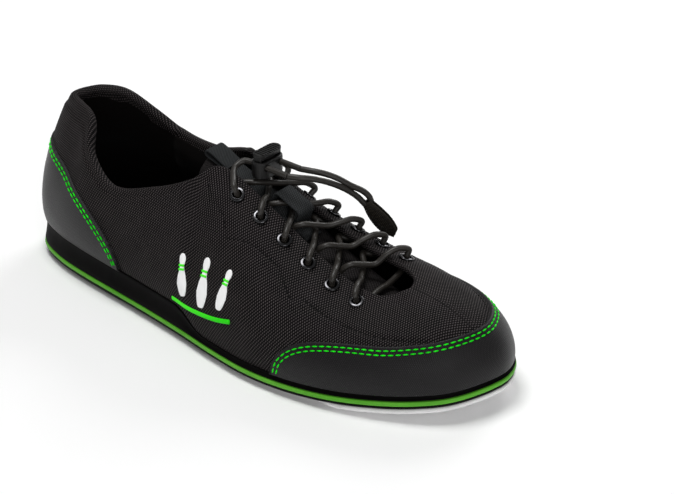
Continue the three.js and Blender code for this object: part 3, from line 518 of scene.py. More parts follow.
# %% Sock liner
LINER_LOW = 0.3 + 1.5 + 0.3
inside = FEATHER + MESH + STIFFENER + LINING + 4 * GAP + 0.6
liner = sole_piece("sock_liner_cover", [
    (inside + 0.6, lambda x: footbed(x) + LINER_LOW),
        (inside + 0.2, lambda x: footbed(x) + LINER_LOW + 1.2),
    (inside + 0.2, lambda x: footbed(x) + LINER_LOW + 3),
        (inside + 0.9, lambda x: footbed(x) + LINER_LOW + 3.8),
    (inside + 2.4, lambda x: footbed(x) + LINER_LOW + 4),
], TRICOT, ["sock_liner"], "lining")

# %% [markdown]
# ## The upper
# The outer mesh is one sheet that is lasted over the foot's shape, rolls over the edge of the
# opening and ends a little way down inside. It is drawn as a grid over u and t, gets its thickness
# from Solidify, and is opened where the eyelets sit. Stitch lines press into it, and padding swells
# the collar.

# %% Lacing holes
EYELETS, EYELET_FIRST, EYELET_PITCH, EYELET_MARGIN = 6, 147.5, 15.9, 9.5
LATERAL, MEDIAL = 1, -1


def side_u(side, u):
    return u if side == LATERAL else COUNT - u


def below_edge(u, distance):
    t = np.arange(1, -0.0001, -0.0025)
    line = skin(np.full_like(t, u), t)
    run = run_along(line)
    return float(np.interp(distance, run, t))


def eyelet_at(side, row):
    x = EYELET_FIRST + EYELET_PITCH * row
    low, high = 7.2, 13.0
    for _ in range(20):
        mid = (low + high) / 2
        u = side_u(side, mid)
        if skin(u, below_edge(u, EYELET_MARGIN))[0] < x:
            low = mid
        else:
            high = mid
    u = side_u(side, (low + high) / 2)
    t = below_edge(u, EYELET_MARGIN)
    return {"u": u, "t": t, "at": skin(u, t), "out": skin_out(u, t), "edge": skin(u, 1),
        "edge_out": skin_out(u, 1)}


lateral_holes = [eyelet_at(LATERAL, row) for row in range(EYELETS)]
medial_holes = [eyelet_at(MEDIAL, row) for row in range(EYELETS)]
print("first eyelet", lateral_holes[0]["at"].round(1))

# %% Padding, relief and the size of the cloth
def padding(u, t):
    s = from_heel(u)
    return (1 - smooth((s - 5.6) / 1.6)) * smooth((t - 0.42) / 0.25) * (1 - 0.45 * smooth((t - 0.8) / 0.2))


LINING_DEPTH = MESH + STIFFENER + 2 * GAP


def lining_top(u, t):
    return LINING_DEPTH + (COLLAR_FOAM + GAP) * padding(u, t)


# seam of the eyestay, from under the collar to the toe cap, on the outer side
EYESTAY_SEAM = [(7.6, 0.93), (7.81, 0.775), (8.18, 0.715), (8.3, 0.615), (8.78, 0.68), (9.02, 0.695),
    (9.57, 0.69), (9.97, 0.555), (10.27, 0.605), (11.4, 0.56), (12.6, 0.49), (13.6, 0.44)]


def polyline(points, step=0.5):
    """Places every step millimetres along straight runs between (u, t) corners, as (u, t) rows."""
    corners = np.array(points, float)
    legs = [np.linspace(a, b, 30, endpoint=False) for a, b in zip(corners, corners[1:])]
    fine = np.concatenate([*legs, corners[-1:]])
    line = skin(fine[:, 0], fine[:, 1])
    run = run_along(line)
    at = np.arange(0, run[-1], step)
    return stack(np.interp(at, run, fine[:, 0]), np.interp(at, run, fine[:, 1]))


seam_outer = polyline(EYESTAY_SEAM)
seam_inner = np.column_stack([COUNT - seam_outer[:, 0], seam_outer[:, 1]])
seam_points = np.vstack([skin(seam_outer[::2, 0], seam_outer[::2, 1]), skin(seam_inner[::2, 0],
    seam_inner[::2, 1])])


def near(points, places):
    """Distance from each point to the nearest of some places."""
    best = np.full(len(points), 1e9)
    for start in range(0, len(places), 40):
        gap = np.linalg.norm(points[:, None] - places[None, start : start + 40], axis=2).min(axis=1)
        best = np.minimum(best, gap)
    return best


def ripple(p, size, seed):
    """Smooth waviness without any random state, from a few crossed waves, about -1 to 1."""
    k = 2 * math.pi / size
    a = (np.sin(k * (p[:, 0] + 0.35 * p[:, 2]) + seed)
        * np.cos(k * 0.83 * (p[:, 1] - 0.5 * p[:, 2]) + 1.7 * seed))
    b = np.sin(k * 1.9 * (0.6 * p[:, 0] - 0.8 * p[:, 1]) + 2.3 * seed) * np.cos(k * 2.3 * p[:, 2] + seed)
    return 0.65 * a + 0.35 * b


def relief(u, t, p):
    """How far the outer cloth stands out from the smooth skin."""
    seam = near(p, seam_points)
    height = -0.45 * np.exp(-((seam / 0.9) ** 2)) + 0.18 * np.exp(-(((seam - 2.2) / 1.2) ** 2))
    s = from_heel(u)
    free = smooth(t / 0.15)
    flex = np.exp(-(((s - 9.8) / 1.8) ** 2)) * np.exp(-(((t - 0.35) / 0.25) ** 2))
    height += free * (0.22 * ripple(p, 46, 1.0) + 0.55 * flex * ripple(p, 23, 2.0))
    collar = (1 - smooth((s - 5.2) / 1.8)) * smooth((t - 0.5) / 0.2)
    height += 0.7 * collar * (1 - smooth((t - 0.9) / 0.1))
    height -= 0.5 * (1 - smooth((s - 6) / 1)) * np.exp(-(((t - 0.945) / 0.018) ** 2))
    return height


RIM_CUTS, RISE_CUTS = 241, 81


def heel_size():
    """Round the sole's edge and up from it: the cloth's grain at the heel and quarter."""
    stations, levels = np.linspace(0, COUNT, RIM_CUTS), np.linspace(0, 1, RISE_CUTS)
    grid = skin(stations[:, None], levels[None])
    rim = run_along(grid[:, 0])
    rise = np.linalg.norm(np.diff(grid, axis=1), axis=2)
    upwards = np.concatenate([np.zeros((RIM_CUTS, 1)), np.cumsum(rise, axis=1)], axis=1)
    return np.minimum(rim, rim[-1] - rim), upwards


SECTION_Y, SECTION_Z = 4.3, 8.0  # each cut is measured round this line
CUT_STEP = 3.0  # millimetres between cuts, and degrees between their places
CUTS = np.arange(96, 294, CUT_STEP)
ANGLES = np.arange(90, -31, -CUT_STEP)


def section_angle(p):
    return np.degrees(np.arctan2(p[..., 2] - SECTION_Z, np.abs(p[..., 1] - SECTION_Y)))


def section_size():
    """Arc length down from the middle line, in cuts across the shoe, by side, cut and angle."""
    grid = skin(np.linspace(4, COUNT - 4, 353)[:, None], np.linspace(0, 1, 121)[None])
    halves = grid[:177].reshape(-1, 3), grid[176:].reshape(-1, 3)
    table = []
    for points in halves:
        angle = section_angle(points)
        reach = np.hypot(points[:, 1] - SECTION_Y, points[:, 2] - SECTION_Z)
        rows = []
        for x in CUTS:
            close = np.abs(points[:, 0] - x) < 3
            radii = np.full(len(ANGLES), np.nan)
            for k, a in enumerate(ANGLES):
                inside = close & (np.abs(angle - a) < 2.5)
                radii[k] = reach[inside].mean() if inside.any() else np.nan
            known = ~np.isnan(radii)
            radii = np.interp(np.arange(len(ANGLES)), np.flatnonzero(known), radii[known])
            bent = np.radians(ANGLES)
            line = np.stack([radii * np.cos(bent), radii * np.sin(bent)], axis=-1)
            rows.append(run_along(line))
        table.append(np.array(rows))
    return table


RIM, RISE = heel_size()
DOWN_OUTER, DOWN_INNER = section_size()


def bilinear(table, a, b):
    i = np.clip(a.astype(int), 0, table.shape[0] - 2)
    j = np.clip(b.astype(int), 0, table.shape[1] - 2)
    f, g = clamp(a - i), clamp(b - j)
    return mix(mix(table[i, j], table[i + 1, j], f), mix(table[i, j + 1], table[i + 1, j + 1], f), g)


def rise_at(u, t):
    return bilinear(RISE, (u % COUNT) / COUNT * (RIM_CUTS - 1), t * (RISE_CUTS - 1))


MIDDLE = 96.0  # arc length from sole to middle line where the two maps meet


def cloth_size(u, t):
    """UV in millimetres, with the weave's grain along the shoe and over the instep."""
    u, t = np.asarray(u, float), clamp(t)
    p = skin(u, t)
    rim = np.interp(u % COUNT, np.linspace(0, COUNT, RIM_CUTS), RIM)
    rise = rise_at(u, t)
    outer = (u <= TOE) | (u < 0)
    at = (p[:, 0] - CUTS[0]) / CUT_STEP, (ANGLES[0] - section_angle(p)) / CUT_STEP
    down = np.where(outer, bilinear(DOWN_OUTER, *at), bilinear(DOWN_INNER, *at))
    height = mix(rise, MIDDLE - down, smooth((p[:, 0] - 118) / 40))
    return mix(rim, p[:, 0] + 12, smooth((p[:, 0] - 25) / 60)), np.where(outer, height,
        2 * MIDDLE - height)


# %% Outer mesh with its rolled edge
UP_T, ROLL, TUCK = 64, 10, 6
AROUND = 540
V_ALL = UP_T + ROLL + TUCK


def upper_place(a, b):
    u = a * COUNT
    v = np.rint(b * V_ALL)
    t = clamp(v / UP_T)
    flat = skin(u, t)
    out = skin_out(u, t)
    s = from_heel(u)
    depth = lining_top(u, np.full_like(u, 0.99)) + LINING
    rise = mix(1.0, 2.0, padding(u, np.full_like(u, 0.8)))
    p = flat + out * relief(u, t, flat)[:, None]
    over = clamp((v - UP_T) / ROLL) * math.pi
    along = unit(skin(u, 1.0) - skin(u, 0.97))
    rolled = v > UP_T
    lumps = 0.3 * smooth((s - 8.2) / 0.8) * ripple(flat * 9 + over[:, None] * 3, 23, 0.4)
    fat = (depth / 2 + lumps)[:, None]
    roll = (skin(u, 1.0) - out * (fat * (1 - np.cos(over))[:, None])
        + along * ((rise + lumps) * np.sin(over))[:, None])
    p = np.where(rolled[:, None], roll, p)
    tuck = clamp((v - UP_T - ROLL) / TUCK)
    inner_t = 1 - 0.09 * tuck
    down = deep(u, inner_t, lining_top(u, inner_t) + LINING * (1 - 0.2 * tuck))
    return np.where((v > UP_T + ROLL)[:, None], down, p)


def upper_size(a, b):
    u = a * COUNT
    v = np.rint(b * V_ALL)
    across, upwards = cloth_size(u, clamp(v / UP_T))
    return stack(across, upwards + clamp(v - UP_T, 0, 99) * 0.8)


def away_from_holes(a, b):
    u = a * COUNT
    v = np.rint(b * V_ALL)
    p = skin(u, clamp(v / UP_T))
    holes = np.array([h["at"] for h in lateral_holes + medial_holes])
    return (near(p, holes) > 2.7) | (v > UP_T)


bm = bend_grid(AROUND, V_ALL, upper_place, upper_size, away_from_holes)
upper = mesh_object(bm, "upper_mesh", SANDWICH_MESH, "shoe", ["mesh_upper"], "mesh")
thicken(upper, 0.8)
print("upper", len(upper.data.polygons), "faces")

# %% [markdown]
# ## Linings
# Inside, a brushed lining covers the foam of the collar and the back of the mesh. A seam joins the
# padded quarter lining to the thinner vamp lining beside the lacing.

# %% Linings
def lining_piece(name, from_u, to_u, nodes, padded):
    def place(a, b):
        u = mix(from_u, to_u, a)
        t = b * 0.955
        depth = lining_top(u, t)
        seam = np.exp(-(((a - 0.5) * (to_u - from_u) * 14) ** 2)) if padded else 0
        p = skin(u, t)
        swell = 0.5 * padding(u, t) * ripple(p, 31, 0.7) - 0.8 * seam
        edge = 0.5 * smooth((0.02 - np.minimum(a, 1 - a)) / 0.02)
        return deep(u, t, depth + LINING + swell * 0.6 - edge)

    bm = bend_grid(int(abs(to_u - from_u) * 12), 48, place, lambda a,
        b: stack(*cloth_size(mix(from_u, to_u, a), b)))
    bmesh.ops.reverse_faces(bm, faces=bm.faces)
    piece = mesh_object(bm, name, TRICOT, "shoe", nodes, "lining")
    thicken(piece, 0.6)
    print(name, len(piece.data.polygons), "faces")
    return piece


lining_piece("quarter_lining_cover", -7.55, 7.55, ["quarter_lining"], True)
lining_piece("vamp_lining_cover", 7.45, COUNT - 7.45, ["vamp_lining"], False)

# %% [markdown]
# ## Overlays
# The toe cap and the heel overlay are cut from a coated weave, folded at their free edge and sewn
# down with two rows of green thread. Each is a grid between the sole and its edge, with the last
# rows rounding down onto the mesh.

# %% Toe cap and heel overlay
CAP_START, HEEL_END = 9.74, 5.15  # stations from the heel where the cap begins and the overlay ends
def quarter(v):
    return np.sqrt(clamp(1 - (1 - clamp(v)) ** 2))


def cap_edge(u):
    s = from_heel(u)
    return 0.01 + 0.4 * quarter((s - CAP_START) / 2.2)


def heel_edge(u):
    s = np.abs(u)
    return 0.01 + mix(0.64, 0.6, clamp(s / 3)) * quarter((HEEL_END - s) / 1.5)


FOLD = 6  # rows of the folded edge


def overlay_piece(name, from_u, to_u, edge_of, nodes, rows=40):
    def place(a, b):
        a = eased(a)
        u = mix(from_u, to_u, a)
        v = np.rint(b * (rows + FOLD))
        edge = edge_of(u)
        t = edge * clamp(v / rows)
        near_edge = (1 - clamp(v / rows)) * edge
        fold = clamp((v - rows) / FOLD)
        bead = 0.28 * np.exp(-((near_edge / 0.012) ** 2))
        raised = (GAP + OVERLAY + bead) * np.cos(fold * math.pi / 2) - 0.35 * fold
        side = skin(u, np.minimum(t + 0.006, 1)) - skin(u, t)
        p = skin(u, t)
        low = 0.12 * ripple(p, 40, 1.3) * smooth(t / 0.1)
        return (p + skin_out(u, t) * (raised + low)[:, None]
            + unit(side) * (0.9 * np.sin(fold * math.pi / 2))[:, None])

    def size(a, b):
        u = mix(from_u, to_u, eased(a))
        t = edge_of(u) * clamp(b * (rows + FOLD) / rows)
        us = np.linspace(from_u, to_u, 400)
        run = run_along(skin(us, 0.1))
        return stack(np.interp(u, us, run), rise_at(u, t))

    bm = bend_grid(260, rows + FOLD, place, size)
    piece = mesh_object(bm, name, COATED_WEAVE, "shoe", nodes, "overlay")
    thicken(piece, 0.8)
    print(name, len(piece.data.polygons), "faces")
    return piece


overlay_piece("toe_cap_cloth", CAP_START, COUNT - CAP_START, cap_edge, ["toe_cap"])
overlay_piece("heel_overlay_cloth", -HEEL_END, HEEL_END, heel_edge, ["heel_overlay"])

# %% [markdown]
# ## Stitches
# A sewn row is the same small thread body hundreds of times, so each one has only a few faces. The
# rows keep a fixed distance from the overlay's edge, found by walking the surface.

# %% Settling points on the skin
def settle(points, u, t, rounds=5):
    """u and t of the places of the skin nearest to some points, from a first guess."""
    u, t = np.array(u, float), np.array(t, float)
    for _ in range(rounds):
        p = skin(u, t)
        du = (skin(u + 0.01, t) - skin(u - 0.01, t)) / 0.02
        dt = (skin(u, clamp(t + 0.005)) - skin(u, clamp(t - 0.005))) / 0.01
        r = points - p
        a, b, c = (du * du).sum(1), (du * dt).sum(1), (dt * dt).sum(1)
        e, f = (du * r).sum(1), (dt * r).sum(1)
        det = np.maximum(a * c - b * b, 1e-9)
        u, t = u + clamp((e * c - f * b) / det, -0.3,
            0.3), clamp(t + clamp((f * a - e * b) / det, -0.1, 0.1), 0, 1)
    return u, t


def evenly(points, pitch):
    """The same line resampled every pitch millimetres."""
    run = run_along(points)
    at = np.arange(pitch / 2, run[-1], pitch)
    return np.column_stack([np.interp(at, run, points[:, k]) for k in range(points.shape[1])])


def inside_row(u, t, distance):
    """A row on the skin that runs a distance below an edge given by its u and t."""
    edge = skin(u, t)
    forward = unit(np.gradient(edge, axis=0))
    down = np.cross(forward, skin_out(u, t))
    down = down if down[:, 2].mean() < 0 else -down
    u2, t2 = settle(edge + down * distance, u, t)
    return np.column_stack([u2, t2])


def thread(bm, at, axes, size):
    """One stitch: a small ball drawn out along three directions, sizes in millimetres."""
    place = np.eye(4)
    place[:3, :3] = np.stack([axis * k / 1000 for axis, k in zip(axes, size)], axis=-1)
    place[:3, 3] = metres(at)
    bmesh.ops.create_uvsphere(bm, u_segments=6, v_segments=5, radius=0.5, matrix=Matrix(place.tolist()))


def stitches(name, rows, height, length, width, material, pitch, slot):
    """rows: lists of (u, t) along each seam."""
    bm = bmesh.new()
    count = 0
    for row in rows:
        line = skin(row[:, 0], row[:, 1])
        joined = evenly(np.column_stack([line, row]), pitch)
        mids, us, ts = joined[:, :3], joined[:, 3], joined[:, 4]
        out = skin_out(us, ts)
        forward = unit(np.gradient(mids, axis=0))
        aside = unit(np.cross(out, forward))
        for p, f, s, o in zip(mids, forward, aside, out):
            thread(bm, p + o * height, (f, s, o), (length, width, width * 0.8))
            count += 1
    piece = mesh_object(bm, name, material, "shoe", (), slot)
    print(name, count, "stitches")
    return piece


SEAM_ROWS = (1.6, 3.7)  # millimetres between the two rows of green thread and the edge
us = mix(CAP_START, COUNT - CAP_START, eased(np.linspace(0.004, 0.996, 900)))
cap_rows = [inside_row(us, cap_edge(us), d) for d in SEAM_ROWS]
us = mix(-HEEL_END, HEEL_END, eased(np.linspace(0.004, 0.996, 700)))
heel_rows = [inside_row(us, heel_edge(us), d) for d in SEAM_ROWS]
stitches("toe_cap_stitches", cap_rows, GAP + OVERLAY + 0.15, 3.3, 0.85, GREEN_THREAD, 3.7, "welt")
stitches("heel_stitches", heel_rows, GAP + OVERLAY + 0.15, 3.3, 0.85, GREEN_THREAD, 3.7, "welt")
stitches("eyestay_stitches", [seam_outer, seam_inner], -0.2, 2.0, 0.6, BLACK_THREAD, 2.6, "mesh")

# %% [markdown]
# ## Eyelets
# Each lacing hole has a black enamelled eyelet: a barrel through the layers and a rolled flange. A
# profile is spun round its axis, then turned to stand on the cloth.

# %% Spun eyelets
LACE, LACE_PLAY, EYELET_TUBE, EYELET_RIM = 3.2, 0.7, 0.5, 1.2
BORE = LACE / 2 + LACE_PLAY
BARREL = BORE + EYELET_TUBE
FLANGE = BARREL + EYELET_RIM
STACK = MESH + STIFFENER + LINING + 2 * GAP


def spun(profile, steps=36):
    """A closed profile of (radius, height) in millimetres, spun round Z, in metres."""
    bm = bmesh.new()
    corners = [bm.verts.new((r / 1000, 0, h / 1000)) for r, h in profile]
    edges = [bm.edges.new((a, b)) for a, b in zip(corners, corners[1:] + corners[:1])]
    bmesh.ops.spin(bm, geom=corners + edges, cent=(0, 0, 0), axis=(0, 0, 1), dvec=(0, 0, 0),
        angle=2 * math.pi, steps=steps, use_merge=True)
    bmesh.ops.remove_doubles(bm, verts=bm.verts, dist=1e-7)
    return outwards(bm)


def stand(bm, at, out):
    """Turns a piece drawn along +Z to point along out, and puts it at a place of the drawing."""
    turn = Vector((0, 0, 1)).rotation_difference(Vector([float(k) for k in out]))
    bmesh.ops.rotate(bm, verts=bm.verts, cent=(0, 0, 0), matrix=turn.to_matrix())
    bmesh.ops.translate(bm, verts=bm.verts, vec=[float(k) for k in metres(at)])


low = -STACK - GAP - 0.5
rim = [(FLANGE - 0.5 + 0.5 * math.cos(a), GAP + 0.15 + 0.5 * math.sin(a)) for a in np.linspace(-0.9,
    1.7, 6)]
lip = [(BORE + 0.45 - 0.45 * math.cos(a), GAP + 0.35 + 0.45 * math.sin(a)) for a in np.linspace(1.9,
    0, 5)]
eyelet_profile = [(BORE, low), (BARREL, low), (BARREL, GAP - 0.2), *rim, *lip]
for word, holes in (("lateral", lateral_holes), ("medial", medial_holes)):
    for i, hole in enumerate(holes):
        bm = spun(eyelet_profile)
        stand(bm, hole["at"], hole["out"])
        mesh_object(bm, f"eyelet_ring_{word}_{i + 1}", ENAMEL, "shoe", [f"eyelet_{word}_{i + 1}"],
            "eyelet")
print("eyelet flange radius", FLANGE)

# %% [markdown]
# ## Tongue
# The tongue is a padded strip that follows the instep under the lacing. Its outer cloth and its
# lining meet at a rounded edge. A webbing strip runs up its middle and ends in a folded pull loop,
# and a short webbing keeper holds the lace.

# %% Tongue surface
TONGUE_CROWN = 7
TONGUE_HALF = np.array([14, 16, 18, 18, 18, 17, 14.5, 12], float)[:, None]
TONGUE_LINE = [[250, 4.4, 40.5], [233, 4.2, 41.5], [210, 4, 47], [187, 4, 55.4], [165, 4, 65],
    [143, 4, 74.2], [126, 3, 81], [114, 3, 84.5]]
TONGUE_THICK = 0.9 + 3 + 0.6 + 2 * GAP


def tongue(p, q, height=0.0):
    p, q, height = np.broadcast_arrays(*[np.asarray(k, float) for k in (p, q, height)])
    at = through(TONGUE_LINE, p * 7, False)
    ahead = through(TONGUE_LINE, (p + 0.01) * 7, False)
    half = through(TONGUE_HALF, p * 7, False)[..., 0]
    lift = unit(stack(-(ahead - at)[..., 2], (ahead - at)[..., 0]))
    lift = np.where(lift[..., 1:] < 0, -lift, lift)
    tilt = -2 * TONGUE_CROWN * q / half
    out = unit(stack(lift[..., 0], -tilt * lift[..., 1], lift[..., 1]))
    point = stack(at[..., 0], at[..., 1] + half * q, at[..., 2] - TONGUE_CROWN * q * q)
    return point + out * height[..., None]


def tongue_share(x):
    shares = np.linspace(0, 1, 2001)
    return float(np.interp(-x, -tongue(shares, 0.0)[:, 0], shares))


def tongue_wrap(q_loop, thick):
    """q_loop from 0 to 1 goes over the top from side to side and back underneath."""
    angle = q_loop * 2 * math.pi
    q = np.cos(angle)
    side = np.sin(angle)
    full = np.abs(side) ** 0.35 * np.sign(side)
    return np.clip(q, -1, 1), (full - 1) * thick / 2


def tongue_place(a, b):
    ends = np.minimum(b, 1 - b)
    closing = np.sqrt(clamp(1 - (1 - clamp(ends / 0.03)) ** 2))
    q, h = tongue_wrap(a, TONGUE_THICK)
    quilting = 0.5 * np.exp(-((np.abs(q) - 0.62) / 0.05) ** 2) * (h > -1)
    shell = tongue(b, q * (0.9 + 0.1 * closing),
        -TONGUE_THICK / 2 + (h + TONGUE_THICK / 2) * closing - quilting)
    return shell + np.array([0, 0, 1]) * (0.25 * ripple(shell, 27, 0.9))[:, None]


bm = bend_grid(96, 150, tongue_place, lambda a, b: stack(a * 84, b * 160))
tongue_cover = closed_piece(bm, "tongue_cover", TONGUE_CLOTH, "shoe",
    ["tongue_shell", "tongue_foam", "tongue_lining"], "overlay")
print("tongue", len(tongue_cover.data.polygons), "faces")


# %% Webbing bands
WEBBING, WEBBING_WIDTH = 1.2, 12


def bezel(thick, half, k=4):
    """Cross-section of a band with rounded edges, as (sideways, upwards) pairs."""
    r = thick / 2
    right = [(half - r + r * math.cos(a), r * math.sin(a)) for a in np.linspace(-math.pi / 2,
        math.pi / 2, k + 1)]
    top = [(half - r) * f for f in (0.6, 0.2, -0.2, -0.6)]
    loop = [*right, *[(x, r) for x in top], *[(-x, -y) for x, y in right], *[(-x, -r) for x in top]]
    return np.array(loop)


def smooth_line(points, count):
    return through(points, np.linspace(0, len(points) - 1, count), False)


def band(name, line, normals, thick, half, nodes, material, slot, body="shoe", sideways=None):
    """A flat band swept along a line, with its face turned to the normals."""
    section = bezel(thick, half)
    n, m = len(line), len(section)
    forward = unit(np.gradient(line, axis=0))
    aside = unit(np.cross(normals, forward)) if sideways is None else np.broadcast_to(sideways,
        line.shape)
    face = unit(np.cross(forward, aside))
    table = line[:, None] + aside[:, None] * section[None, :, :1] + face[:, None] * section[None, :, 1:]
    run = run_along(line)

    def place(a, b):
        return table[np.rint(b * (n - 1)).astype(int), np.rint(a * m).astype(int) % m]

    bm = bend_grid(m, n - 1, place, lambda a, b: stack(a * 2 * (thick + 2 * half), b * run[-1]))
    return closed_piece(bm, name, material, body, nodes, slot)


def tongue_band(name, profile, nodes):
    line = smooth_line(np.array([tongue(p, 0.0, h) for p, h in profile]), 110)
    return band(name, line, None, WEBBING, WEBBING_WIDTH / 2, nodes, GROSGRAIN, "webbing",
        sideways=np.array([0.0, 1.0, 0.0]))


LOW = GAP + WEBBING / 2
TURN = 3.4
tongue_band("pull_loop_webbing", [
    (0.46, LOW), (0.55, LOW), (0.64, LOW), (0.73, LOW), (0.82, LOW), (0.9, LOW), (0.98, LOW + 0.3),
    (1.01, LOW + TURN * 0.5), (0.98, LOW + TURN), (0.92, LOW + TURN * 0.9), (0.87, LOW + TURN * 0.6),
    (0.83, LOW + WEBBING + GAP + 0.1)], ["pull_loop"])

LACE_LOW = WEBBING + 3 * GAP + LACE / 2
LACE_HIGH = LACE_LOW + LACE + 2 * GAP
keeper_x = np.mean([h["edge"][0] for holes in (lateral_holes, medial_holes) for h in holes[1:3]])
share = tongue_share(keeper_x)
lean = tongue(share, 0.0, 1.0)[0] - tongue(share, 0.0)[0]
middle = keeper_x - lean * (LACE_LOW + LACE_HIGH) / 2
arch = LACE_HIGH + LACE / 2 + 5 * GAP + WEBBING / 2
foot = LOW + WEBBING + GAP
hump = [(10, foot), (8.6, foot), (8.2, arch * 0.6), (7.2, arch), (0, arch + 0.3), (-7.2, arch),
    (-8.2, arch * 0.6),
    (-8.6, foot), (-10, foot)]
tongue_band("lace_keeper_webbing", [(tongue_share(middle + dx), h) for dx, h in hump], ["lace_keeper"])
print("keeper over", round(keeper_x, 1))

# %% [markdown]
# ## Lacing
# One round elastic lace runs from the cord lock down through every eyelet and back. Its route is a
# list of points worked out from the holes, and a tube is swept along a smooth curve through them.

# %% Tubes along a route
def centripetal(points, count):
    """The smooth curve of a sewn or laced cord, which doesn't overshoot at close points."""
    p = np.asarray(points, float)
    p = np.vstack([2 * p[0] - p[1], p, 2 * p[-1] - p[-2]])
    knots = np.concatenate([[0], np.cumsum(np.linalg.norm(np.diff(p, axis=0), axis=1) ** 0.5)])
    fine = []
    per = max(4, count // (len(points) - 1))
    for i in range(1, len(p) - 2):
        t0, t1, t2, t3 = knots[i - 1 : i + 3]
        t = np.linspace(t1, t2, per, endpoint=False)[:, None]
        a1 = (t1 - t) / (t1 - t0) * p[i - 1] + (t - t0) / (t1 - t0) * p[i]
        a2 = (t2 - t) / (t2 - t1) * p[i] + (t - t1) / (t2 - t1) * p[i + 1]
        a3 = (t3 - t) / (t3 - t2) * p[i + 1] + (t - t2) / (t3 - t2) * p[i + 2]
        b1 = (t2 - t) / (t2 - t0) * a1 + (t - t0) / (t2 - t0) * a2
        b2 = (t3 - t) / (t3 - t1) * a2 + (t - t1) / (t3 - t1) * a3
        fine.append((t2 - t) / (t2 - t1) * b1 + (t - t1) / (t2 - t1) * b2)
    return np.vstack([*fine, p[-2:-1]])


def frames(line):
    """Sideways and upwards directions that turn with the line without twisting."""
    forward = unit(np.gradient(line, axis=0))
    side = np.zeros_like(line)
    first = np.cross(forward[0], [0.3, 0.2, 1.0])
    side[0] = first / np.linalg.norm(first)
    for i in range(1, len(line)):
        s = side[i - 1] - forward[i] * side[i - 1].dot(forward[i])
        side[i] = s / np.linalg.norm(s)
    return forward, side, np.cross(forward, side)


def tube(name, line, radius, material, body, nodes, slot, sides=14, flatten=1.0, radii=None,
        facing=None):
    forward, side, upward = frames(line)
    if facing is not None:
        side = unit(np.cross(facing, forward))
        upward = unit(np.cross(forward, side))
    n = len(line)
    run = run_along(line)
    radii = np.full(n, radius) if radii is None else radii

    def place(a, b):
        i = np.rint(b * (n - 1)).astype(int)
        angle = a * 2 * math.pi
        reach = radii[i][:, None]
        across, up = np.cos(angle)[:, None] * reach, np.sin(angle)[:, None] * reach * flatten
        return line[i] + side[i] * across + upward[i] * up

    def size(a, b):
        i = np.rint(b * (n - 1)).astype(int)
        return stack(a * 2 * math.pi * radius + 0.35 * run[i], run[i])

    bm = bend_grid(sides, n - 1, place, size)
    piece = closed_piece(bm, name, material, body, nodes, slot)
    print(name, "length", round(run[-1], 1), "mm")
    return piece


# %% Route of the lace
LOCK = {"length": 10, "width": 19, "wall": 1.3, "travel": 2, "head": 2, "spacing": 10.4}
LOCK_SLIDE = 12
lock_at = np.array([149.5, 6, 89.5])
straight_end = lock_at[0] + LOCK["length"] / 2 + LOCK_SLIDE + 1
LACE_UNDER = STACK + GAP + LACE / 2 + 0.2


def lace_y(side):
    return lock_at[1] - side * LOCK["spacing"] / 2


def crossing(start_hole, to, height):
    centre = (start_hole["edge"] + to["edge"]) / 2
    heading = to["edge"] - start_hole["edge"]
    heading[2] = 0
    heading = heading / np.linalg.norm(heading)
    cross = []
    for s in (-7, 0, 7):
        at = centre + heading * s
        share = tongue_share(at[0])
        base = tongue(share, 0.0)[2]
        lift = tongue(share, 0.0, 1.0)[2] - base
        cross.append(np.array([at[0], at[1], base + height / lift]))
    over = LACE / 2 + GAP + 0.5
    start = start_hole["at"] + start_hole["out"] * LACE * 1.5
    shoulder = mix(start_hole["at"], start_hole["edge"], 0.6) + start_hole["out"] * LACE * 1.6
    lip_at = mix(start_hole["edge"] + start_hole["edge_out"] * over, cross[0], 0.15) + [0, 0, 0.6]
    tuck = mix(to["edge"] - to["edge_out"] * (LACE_UNDER + 0.4), cross[2], 0.1)
    within = mix(to["at"], to["edge"], 0.4) - to["out"] * (LACE_UNDER + 0.6)
    return [start, shoulder, lip_at, *cross, tuck, within]


def to_lock(hole, side):
    y = lace_y(side)
    entry = lock_at[0] - LOCK["length"] / 2
    rise = hole["at"] + hole["out"] * LACE * 1.8 + [-2, side * 1.2, 0.5]
    bend = np.array([entry - 7, mix(hole["at"][1], y, 0.62), mix(hole["at"][2], lock_at[2], 0.8)])
    turn = np.array([entry - 5, mix(hole["at"][1], y, 0.93), lock_at[2]])
    straight = [np.array([entry + s, y, lock_at[2]]) for s in (-1.5, 6, 14, 20, straight_end - entry)]
    return [rise, bend, turn, *straight]


def lace_half(side):
    holes = [lateral_holes, medial_holes] if side == LATERAL else [medial_holes, lateral_holes]
    route = to_lock(holes[0][0], side)[::-1]
    for row in range(EYELETS):
        hole = holes[row % 2][row]
        route += [hole["at"] + hole["out"] * LACE * 0.6, hole["at"] - hole["out"] * (STACK + 1.9)]
        if row < EYELETS - 1:
            above_it = (side == LATERAL) == (row % 2 == 0)
            route += crossing(holes[(row + 1) % 2][row + 1], hole,
                LACE_HIGH if above_it else LACE_LOW)[::-1]
    return route


bar = []
for k in (0.34, 0.5, 0.66):
    centre = mix(medial_holes[-1]["at"], lateral_holes[-1]["at"], k)
    bar.append(tongue(tongue_share(centre[0]), mix(0.55, -0.55, k), LACE / 2 + GAP + 0.6))
route = lace_half(LATERAL) + bar + lace_half(MEDIAL)[::-1]
lace_line = centripetal(route, 1300)
tube("elastic_lace", lace_line, LACE / 2, BRAID, "shoe", ["lace"], "cord")

# %% [markdown]
# ## Cord lock
# The lock is a moulded body with two bores for the lace and a ribbed button that a coil spring
# pushes up. The body and the button's head share one long rounded outline.

